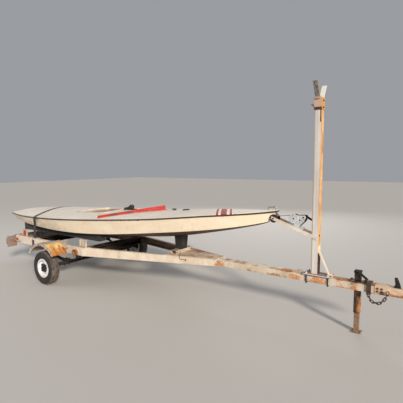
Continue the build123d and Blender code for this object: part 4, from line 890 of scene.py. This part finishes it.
def pathMesh(name, paths):
    # Each path is a run of edges through its places
    mesh = bpy.data.meshes.new(name)
    points = [tuple(point) for path in paths for point in path]
    edges = []
    first = 0
    for path in paths:
        edges += [(first + i, first + i + 1) for i in range(len(path) - 1)]
        first += len(path)
    mesh.from_pydata(points, edges, [])
    return mesh


# Bolts, nuts, rivets and screws

def fastenerTree():
    tree, given = startTree("fasteners", {
        "Sides": 6, "Head Radius": 0.008, "Head Height": 0.006, "Washer Radius": 0.011, "Washer Height": 0.0016,
        "Tip Radius": 0.0045, "Tip Height": 0.004, "Seed": 3})
    points, high = given["Geometry"], given["Head Height"]
    head = points.into("GeometryNodeMeshCylinder", {
        "Vertices": given["Sides"], "Radius": given["Head Radius"], "Depth": high})
    washer = points.into("GeometryNodeMeshCylinder", {
        "Vertices": 20, "Radius": given["Washer Radius"], "Depth": given["Washer Height"]})
    tip = points.into("GeometryNodeMeshCone", {
        "Vertices": 12, "Radius Top": given["Tip Radius"] * 0.7, "Radius Bottom": given["Tip Radius"],
        "Depth": given["Tip Height"]})
    whole = tree.nodes.new("GeometryNodeJoinGeometry")
    for part, lift in ((head, high * 0.5 + given["Washer Height"] * 0.5), (tip, high)):
        rise = part.into("ShaderNodeCombineXYZ", {2: lift})
        raised = part.into("GeometryNodeTransform", {"Geometry": part, "Translation": rise})
        tree.links.new(raised.socket, whole.inputs[0])
    tree.links.new(washer.socket, whole.inputs[0])
    facing = points.into("GeometryNodeInputNamedAttribute", {"Name": "facing"}, data_type="FLOAT_VECTOR")
    size = points.into("GeometryNodeInputNamedAttribute", {"Name": "size"}, data_type="FLOAT")
    turn = facing.into("FunctionNodeAlignRotationToVector", {"Vector": facing}, axis="Z")
    spin = points.into("FunctionNodeRandomValue", {
        "Min": (0, 0, 0), "Max": (0, 0, math.pi), "Seed": given["Seed"]}, data_type="FLOAT_VECTOR")
    spun = turn.into("FunctionNodeRotateRotation", {0: turn, 1: spin}, rotation_space="LOCAL")
    placed = points.into("GeometryNodeInstanceOnPoints", {
        "Points": points, "Instance": whole.outputs[0], "Rotation": spun, "Scale": size})
    return endTree(tree, placed, given)


fasteners = fastenerTree()


def addFasteners(name, places, slotName, **values):
    # Each place is a point, the way the head faces and its scale
    mesh = bpy.data.meshes.new(name + "Points")
    mesh.from_pydata([tuple(point) for point, way, scale in places], [], [])
    mesh.attributes.new("facing", "FLOAT_VECTOR", "POINT")
    mesh.attributes.new("size", "FLOAT", "POINT")
    facing, size = mesh.attributes["facing"], mesh.attributes["size"]
    for i, (point, way, scale) in enumerate(places):
        facing.data[i].vector = Vector(way)
        size.data[i].value = scale
    grown = growMesh(name, mesh, fasteners, {**spaced(values), "Material": finishes[slotName]})
    return addPiece(name, grown, slotName, smooth=False)


up, down, starboard, forward, aft = (0, 0, 1), (0, 0, -1), (0, -1, 0), (1, 0, 0), (-1, 0, 0)
bothSides = (1, -1)  # port, starboard

# Along, across and up in millimetres, the way the head faces (None is outwards) and its scale
pairedBolts = (
    ((-1000, -952, 326, 373), (498,), (456,), up, 0.75),  # bunk brackets' feet
    ((1497, 1535), (122,), (496,), up, 0.9),  # keel cradle
    ((3612, 3644), (43.3,), (404, 428), None, 0.9),  # coupler
    ((3394, 3506), (26,), (458,), up, 1.0),  # jack's flange
    ((-1153,), (534,), (362, 430), aft, 0.7),  # lamp plates
    ((-107, 58), (528, 642), (418,), up, 0.6),  # fender stays
    ((1556,), (133,), (474,), forward, 0.9),  # cradle's beam
)
singleBolts = (
    ((3113.3, 0, 1950), forward, 0.9), ((3113.3, 0, 2010), forward, 0.9),  # mast crutch's collar
    ((1702.5, -167.1, 418), (0.247, -0.969, 0), 0.9),  # near rail
    ((2907.8, 31, 930.6), starboard, 1.7), ((3109, -12, 815), forward, 0.8),  # winch and post
)


def trailerBoltPlaces():
    places = [(spot(x, side * y, z), way or (0, side, 0), scale) for side in bothSides
              for xs, ys, zs, way, scale in pairedBolts for x in xs for y in ys for z in zs]
    return places + [(spot(*place), way, scale) for place, way, scale in singleBolts]


addFasteners("trailer_bolts", trailerBoltPlaces(), "dark_steel")


# Weld runs

weldSizes = {
    "radius": 0.0042, "pitch": 0.0046, "tube": (250, 511, 383, 37), "railTop": 451, "beamLow": 370,
    "gusset": ((1452, 231, 456), (2048, 79.5, 456)), "throat": ((2050, 80, 449), (2050, 80, 381)),
    "throatTop": (2050, 78, 457), "beams": ((420, 500, 466), (-685, -605, 470)),
    "rear": ((-1150, 470, 451), (-1150, 510, 451), (-1150, 511, 346)),
    "foot": ((3048, 38.5, 461), (3110, 38.5, 461)),
}


def weldTree():
    # Overlapping ripples of weld metal along each path
    tree, given = startTree("weldRuns", {"Radius": weldSizes["radius"], "Pitch": weldSizes["pitch"], "Seed": 5})
    paths = given["Geometry"]
    curve = paths.into("GeometryNodeMeshToCurve", {"Mesh": paths})
    steps = curve.into("GeometryNodeResampleCurve", {"Curve": curve, "Length": given["Pitch"]}, mode="LENGTH")
    ripple = paths.into("GeometryNodeMeshIcoSphere", {"Radius": given["Radius"], "Subdivisions": 2})
    rounded = ripple.into("GeometryNodeSetShadeSmooth", {"Geometry": ripple})
    swell = paths.into("FunctionNodeRandomValue", {
        "Min": (0.75, 0.75, 0.65), "Max": (1.2, 1.2, 1.05), "Seed": given["Seed"]}, data_type="FLOAT_VECTOR")
    placed = steps.into("GeometryNodeInstanceOnPoints", {"Points": steps, "Instance": rounded, "Scale": swell})
    return endTree(tree, placed, given)


def sidePath(path, side):
    return [spot(x, side * y, z) for x, y, z in path]


def crossPath(x, y, z):
    return [spot(x, -y, z), spot(x, y, z)]


def ringPath(x, y, z, radius, steps=24):
    turns = [2 * math.pi * i / steps for i in range(steps + 1)]
    return [spot(x + radius * math.cos(turn), y, z + radius * math.sin(turn)) for turn in turns]


def weldPaths():
    # Along the gusset, round the cross tube, at the crossbeams' ends and at the post's foot
    sizes = weldSizes
    x, y, z, radius = sizes["tube"]
    top, low = sizes["railTop"], sizes["beamLow"]
    paths = []
    for side in bothSides:
        paths += [sidePath(sizes["gusset"], side), ringPath(x, side * y, z, radius)]
        for aft, fore, across in sizes["beams"]:
            paths += [sidePath(((along, across, top - 2), (along, across, low)), side) for along in (aft, fore)]
            paths.append(sidePath(((aft, across, top), (fore, across, top)), side))
        paths += [sidePath(sizes[key], side) for key in ("rear", "foot", "throat")]
    return paths + [crossPath(*sizes["foot"][0]), crossPath(*sizes["throatTop"])]


weldMesh = growMesh("weld_runs", pathMesh("weldPaths", weldPaths()), weldTree(),
                    {"Radius": weldSizes["radius"], "Material": finishes["frame_paint"]})
addPiece("weld_runs", weldMesh, "frame_paint")


# Bent rods and wires: U-bolts round the axle, wires on the frame, the strap's buckle and the tyres' valves

rodSizes = {
    "springY": 490, "boltSpread": 28, "boltHalf": 29.5, "boltLow": 178, "boltTop": 268, "nutZ": 259,
    "plateZ": 256, "plate": (0.082, 0.078, 0.006), "plateBevel": 0.0014,
    "railWire": ((1587, -112, 459), (1634, -187, 459), (1640, -186, 421), (1686, -174.5, 421)),
    "tongueLoop": ((2900, -20, 452), (2912, -20, 466), (2935, -20, 475), (2960, -20, 474), (2982, -20, 452)),
    "lampWire": ((-1146, 575, 395), (-1120, 560, 372), (-1085, 530, 366), (-1040, 514, 372)),
    "buckle": ((-739, -517, 455), (-691, -517, 455), (-691, -517, 430), (-739, -517, 430), (-739, -517, 454)),
    "buckleBar": ((-739, -517, 442), (-691, -517, 442)),
    "valve": {"radius": 88, "angle": 35, "from": 783, "to": 812},
}


def rodTree():
    # Round bar along each path, bent at its corners
    tree, given = startTree("bentRods", {"Radius": 0.003, "Bend": 0.008, "Sides": 10})
    paths = given["Geometry"]
    curve = paths.into("GeometryNodeMeshToCurve", {"Mesh": paths})
    bent = curve.into("GeometryNodeFilletCurve", {
        "Curve": curve, "Count": 6, "Radius": given["Bend"], "Limit Radius": True}, mode="POLY")
    ring = paths.into("GeometryNodeCurvePrimitiveCircle", {"Resolution": given["Sides"], "Radius": given["Radius"]})
    bar = bent.into("GeometryNodeCurveToMesh", {"Curve": bent, "Profile Curve": ring, "Fill Caps": True})
    return endTree(tree, bar, given)


rods = rodTree()


def addRods(name, paths, slotName, radius, bend, body="trailer"):
    mesh = growMesh(name, pathMesh(name + "Paths", paths), rods,
                    {"Radius": radius, "Bend": bend, "Material": finishes[slotName]})
    mesh.shade_smooth()
    mesh.set_sharp_from_angle(angle=math.radians(50))
    return addPiece(name, mesh, slotName, body, smooth=False)


def rodPath(key, side=1):
    return sidePath(rodSizes[key], side)


def axleBoltPaths():
    sizes = rodSizes
    paths = []
    for side in bothSides:
        for shift in (-sizes["boltSpread"], sizes["boltSpread"]):
            y = side * sizes["springY"] + shift
            half, low, top = sizes["boltHalf"], sizes["boltLow"], sizes["boltTop"]
            paths.append([spot(-half, y, top), spot(-half, y, low), spot(half, y, low), spot(half, y, top)])
    return paths


def springPlates():
    # The plate that each pair of U-bolts pulls down on the spring
    shape = bmesh.new()
    for side in bothSides:
        made = bmesh.ops.create_cube(shape, size=1.0)["verts"]
        bmesh.ops.scale(shape, verts=made, vec=rodSizes["plate"])
        bmesh.ops.translate(shape, verts=made, vec=spot(0, side * rodSizes["springY"], rodSizes["plateZ"]))
    bmesh.ops.bevel(shape, geom=shape.edges[:] + shape.verts[:], offset=rodSizes["plateBevel"], segments=2,
                    affect="EDGES")
    mesh = bpy.data.meshes.new("spring_plates")
    shape.to_mesh(mesh)
    shape.free()
    mesh.set_sharp_from_angle(angle=math.radians(30))
    return mesh


def axleNutPlaces():
    sizes = rodSizes
    return [(spot(end * sizes["boltHalf"], side * sizes["springY"] + shift, sizes["nutZ"]), up, 0.95)
            for side in bothSides for shift in (-sizes["boltSpread"], sizes["boltSpread"]) for end in (-1, 1)]


def valvePath(side):
    valve = rodSizes["valve"]
    angle = math.radians(valve["angle"])
    x, z = valve["radius"] * math.cos(angle), wheelZ * 1000 + valve["radius"] * math.sin(angle)
    return [spot(x, side * valve["from"], z), spot(x, side * valve["to"], z)]


addRods("axle_bolts", axleBoltPaths(), "rusted_steel", 0.005, 0.016)
addPiece("spring_plates", springPlates(), "rusted_steel")
addFasteners("axle_nuts", axleNutPlaces(), "rusted_steel")
addRods("rail_wire", [rodPath("railWire")], "dark_steel", 0.0028, 0.006)
addRods("tongue_loop", [rodPath("tongueLoop")], "frame_paint", 0.0030, 0.012)
addRods("lamp_wires", [rodPath("lampWire", side) for side in bothSides], "black_rubber", 0.0032, 0.014)
addRods("strap_buckle", [rodPath("buckle"), rodPath("buckleBar")], "zinc_steel", 0.0030, 0.004)
for sideName, side in (("near", -1), ("far", 1)):
    addRods("tyre_valve_" + sideName, [valvePath(side)], "black_rubber", 0.0042, 0.002, "wheel_" + sideName)
print("bolts, welds, rods and wires made")


# Rivets along the rub rail and screws in the splash guard's foot

rivetSizes = {
    "pitch": 0.115, "firstStep": 0.02, "reach": 0.12,
    "heads": {"Sides": 14, "Head_Radius": 0.0042, "Head_Height": 0.0024, "Washer_Radius": 0.0055,
              "Washer_Height": 0.0014, "Tip_Radius": 0.0026, "Tip_Height": 0.0012},
}


def railSidePlaces():
    # The rail's outermost line on each side, read from the rail itself, in steps along the boat
    sizes = rivetSizes
    verts = [vertex.co.copy() for vertex in nodes["rub_rail"].data.vertices]
    low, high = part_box("rub_rail")
    places = []
    for side in bothSides:
        line = []
        for i in range(1, int((high.x - low.x) / sizes["pitch"])):
            x = low.x + sizes["firstStep"] + i * sizes["pitch"]
            near = [v for v in verts if abs(v.x - x) < sizes["reach"] and v.y * side > 0]
            before = [v for v in near if v.x <= x]
            after = [v for v in near if v.x > x]
            if before and after:
                a = max(before, key=lambda v: v.x * 3 + v.y * side)
                b = min(after, key=lambda v: v.x * 3 - v.y * side)
                line.append(a.lerp(b, (x - a.x) / (b.x - a.x)))
        for a, b in zip(line, line[1:]):
            along = (b - a).normalized()
            places.append((a, Vector((-along.y, along.x, 0)) * side, 1.0))
    return places


addFasteners("rail_rivets", railSidePlaces(), "rub_rail", **rivetSizes["heads"])


guardSizes = {
    "tipX": 545, "endX": -15, "endY": 540, "foot": 15, "steps": 9, "firstStep": 0.6, "top": 4.2, "above": 600,
    "heads": {"Sides": 14, "Head_Radius": 0.0042, "Head_Height": 0.0018, "Washer_Radius": 0.0050,
              "Washer_Height": 0.0008, "Tip_Radius": 0.0020, "Tip_Height": 0.0010},
}


def deckHeight(x, y):
    # The deck's place and slope under a point of the level boat, found on the deck's own surface
    hit, place, normal = nodes["deck"].ray_cast(boatSpot(x, y, guardSizes["above"]), levelTurn @ Vector(down))[:3]
    return (place, normal) if hit else (boatSpot(x, y, 350), Vector((0, 0, 1)))


def guardScrewPlaces():
    sizes = guardSizes
    places = []
    for side in bothSides:
        for row in (-1, 1):
            for i in range(sizes["steps"]):
                t = (i + sizes["firstStep"]) / sizes["steps"]
                x = sizes["tipX"] + (sizes["endX"] - sizes["tipX"]) * t + row * sizes["foot"]
                y = side * sizes["endY"] * t
                place, normal = deckHeight(x, y)
                places.append((place + normal * sizes["top"] / 1000, tuple(normal), 1.0))
    return places


addFasteners("guard_screws", guardScrewPlaces(), "fitting_metal", **guardSizes["heads"])


# Tyres: crowned tread with zigzag grooves, slotted shoulders and ringed sidewalls

tyreSizes = {
    "radius": 0.207, "bead": 0.1045, "rim": 0.1160, "beadHalf": 0.0447,
    "grooves": (-0.024, 0.0, 0.024), "grooveHalf": 0.0032, "grooveDepth": 0.0055, "zigzag": 0.0024,
    "zigzags": 60, "steps": 480, "shoulderSlots": 60, "slotShare": 0.26, "slotDepth": 0.0032, "ringHeight": 0.0009,
    "treadHalf": 0.040, "crown": 0.0012, "shoulderDrop": 0.044, "shoulderFrom": 0.72,
    "wallY": 0.0355, "wallBulge": 0.0255, "wallRadius": 0.1530, "wallHalf": 0.0335, "wallTop": 0.184,
    "wallFrom": -62, "wallStep": 10.2, "wallSteps": 13, "rimLip": 0.0003,
    "treadEdge": 0.0345, "treadInner": 0.0310, "innerZigzag": 0.3, "ribHalf": 0.012, "ribZigzag": 0.2,
    "grooveFoot": 0.62, "sharpAngle": 38,
    "rings": (0.1335, 0.1475, 0.1640), "ringSteps": ((-0.0016, 0), (-0.0008, 1), (0.0008, 1), (0.0016, 0)),
    # y, radius, how far it follows the zigzag, and depth of the shoulder slots
    "foot": ((0.0490, 0.1185, 0, 0), (0.0545, 0.1260, 0, 0)),
    "shoulder": ((0.0530, 0.1850, 0, 0.2), (0.0512, 0.1905, 0, 1), (0.0488, 0.1960, 0, 1), (0.0455, 0.2002, 0, 1),
                 (0.0418, 0.2034, 0, 0.8), (0.0385, 0.2048, 0, 0.4)),
}


def treadRadius(y):
    # The tread is crowned, and drops at its shoulders
    sizes = tyreSizes
    share = abs(y) / sizes["treadHalf"]
    drop = sizes["shoulderDrop"] * max(0.0, share - sizes["shoulderFrom"]) ** 2
    return sizes["radius"] - sizes["crown"] * share ** 2 - drop


def tyreProfile():
    # From one bead to the other, in rows like the shoulder's
    sizes = tyreSizes
    bead = sizes["beadHalf"]
    side = [(bead, sizes["bead"], 0, 0), (bead + sizes["rimLip"], sizes["rim"], 0, 0), *sizes["foot"]]
    middle, bulge, centreR, rise = (sizes[key] for key in ("wallY", "wallBulge", "wallRadius", "wallHalf"))
    angles = [math.radians(sizes["wallFrom"] + i * sizes["wallStep"]) for i in range(sizes["wallSteps"])]
    wall = [(middle + bulge * math.cos(angle), centreR + rise * math.sin(angle), 0, 0) for angle in angles]
    for r in sizes["rings"]:
        y = middle + bulge * math.sqrt(max(0, 1 - ((r - centreR) / rise) ** 2))
        wall += [(y + lift * sizes["ringHeight"], r + shift, 0, 0) for shift, lift in sizes["ringSteps"]]
    wall = sorted((row for row in wall if row[1] < sizes["wallTop"]), key=lambda row: row[1])
    edge, inner = sizes["treadEdge"], sizes["treadInner"]
    half = [(edge, treadRadius(edge), 0, 0), (inner, treadRadius(inner), sizes["innerZigzag"], 0)]
    tread = list(half)
    top, low, depth = sizes["grooveHalf"], sizes["grooveHalf"] * sizes["grooveFoot"], sizes["grooveDepth"]
    for centre in sorted(sizes["grooves"], reverse=True):
        crown = treadRadius(centre)
        tread += [(centre + top, crown, 1, 0), (centre + low, crown - depth, 1, 0),
                  (centre - low, crown - depth, 1, 0), (centre - top, crown, 1, 0)]
        if centre > min(sizes["grooves"]):
            rib = centre - sizes["ribHalf"]
            tread.append((rib, treadRadius(rib), sizes["ribZigzag"], 0))
    tread += [(-y, r, zig, slot) for y, r, zig, slot in reversed(half)]
    near = [*side, *wall, *sizes["shoulder"]]
    return near + tread + [(-y, r, zig, slot) for y, r, zig, slot in reversed(near)]


def triangleWave(turns):
    return abs((turns % 1.0) * 4 - 2) - 1


def tyreMesh(name, centreY):
    sizes = tyreSizes
    profile = tyreProfile()
    steps, count = sizes["steps"], len(profile)
    points = []
    for i in range(steps):
        turn = i / steps
        angle = turn * 2 * math.pi
        wave = triangleWave(turn * sizes["zigzags"]) * sizes["zigzag"]
        slot = sizes["slotDepth"] if (turn * sizes["shoulderSlots"]) % 1.0 < sizes["slotShare"] else 0.0
        for y, r, zig, depth in profile:
            reach = r - slot * depth
            points.append((axleX + reach * math.cos(angle), centreY + y + wave * zig,
                           wheelZ + reach * math.sin(angle)))
    faces = []
    for i in range(steps):
        here, following = i * count, (i + 1) % steps * count
        for j in range(count):
            nextJ = (j + 1) % count
            faces.append((here + j, here + nextJ, following + nextJ, following + j))
    mesh = bpy.data.meshes.new(name)
    mesh.from_pydata(points, [], faces)
    shape = bmesh.new()
    shape.from_mesh(mesh)
    bmesh.ops.recalc_face_normals(shape, faces=shape.faces)
    shape.to_mesh(mesh)
    shape.free()
    mesh.set_sharp_from_angle(angle=math.radians(sizes["sharpAngle"]))
    return mesh


for sideName in ("near", "far"):
    tyreLow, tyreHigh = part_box("tyre_" + sideName)
    tyreName = "treaded_tyre_" + sideName
    tyrePiece = addPiece(tyreName, tyreMesh(tyreName, (tyreLow.y + tyreHigh.y) / 2), "tyre_rubber",
                         "wheel_" + sideName)
    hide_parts("tyre_" + sideName)
print("tyres made")


# Stage

stageSizes = {"floor": 60.0, "floorColour": (0.50, 0.49, 0.475), "floorRoughness": 0.75}


def makeFloor():
    half = stageSizes["floor"] / 2
    mesh = bpy.data.meshes.new("floor")
    mesh.from_pydata([(-half, -half, 0), (half, -half, 0), (half, half, 0), (-half, half, 0)], [], [(0, 1, 2, 3)])
    floor = addObject("floor", mesh)
    finish = Finish("floorPaint")
    finish.base = (*stageSizes["floorColour"], 1)
    floor.data.materials.append(finish.give(Roughness=stageSizes["floorRoughness"]))


makeFloor()


# Camera: the photograph's place and angle

cameraSizes = {"place": (2.9005, -3.306, 1.452), "towards": (-0.5735, 0.8133, -0.0978),
               "roll": -0.0049, "lens": 32.96, "sensor": 36.0}


def makeCamera():
    data = bpy.data.cameras.new("camera")
    data.lens = cameraSizes["lens"]
    data.sensor_width = cameraSizes["sensor"]
    data.clip_end = 200
    camera = addObject("camera", data)
    turned = Vector(cameraSizes["towards"]).to_track_quat("-Z", "Y").to_matrix()
    camera.matrix_world = (Matrix.Translation(cameraSizes["place"]) @ turned.to_4x4()
                           @ Matrix.Rotation(cameraSizes["roll"], 4, "Z"))
    bpy.context.scene.camera = camera


makeCamera()


# Light: one soft warm lamp low ahead of the trailer, soft fills and a pale sky

lightSizes = {
    "lamp": {"from": (0.80, -0.48, 0.38), "spread": 9.0, "strength": 4.5, "colour": (1.0, 0.90, 0.77)},
    "fills": {
        "aft": {"place": (-6.0, -4.0, 3.0), "aim": (-0.5, 0.0, 0.4), "size": 4.0, "power": 90,
                "colour": (0.92, 0.96, 1.0)},
        "far": {"place": (-1.5, 6.5, 4.0), "aim": (0.0, 0.0, 0.6), "size": 4.0, "power": 120,
                "colour": (1.0, 0.97, 0.92)},
    },
    "sky": (0.90, 0.93, 1.0), "skyStrength": 0.36,
}


def makeLights():
    sizes = lightSizes["lamp"]
    data = bpy.data.lights.new("lamp", "SUN")
    data.energy, data.angle, data.color = sizes["strength"], math.radians(sizes["spread"]), sizes["colour"]
    addObject("lamp", data).matrix_world = Vector(sizes["from"]).to_track_quat("Z", "Y").to_matrix().to_4x4()
    for name, sizes in lightSizes["fills"].items():
        data = bpy.data.lights.new(name, "AREA")
        data.energy, data.size, data.color = sizes["power"], sizes["size"], sizes["colour"]
        place = Vector(sizes["place"])
        aim = (Vector(sizes["aim"]) - place).to_track_quat("-Z", "Y").to_matrix().to_4x4()
        addObject(name, data).matrix_world = Matrix.Translation(place) @ aim
    world = bpy.data.worlds.new("sky")
    bpy.context.scene.world = world
    world.use_nodes = True
    background = world.node_tree.nodes["Background"]
    background.inputs[0].default_value = (*lightSizes["sky"], 1)
    background.inputs[1].default_value = lightSizes["skyStrength"]


makeLights()
bpy.context.scene.view_settings.view_transform = "Standard"
print("stage, camera and lights set")
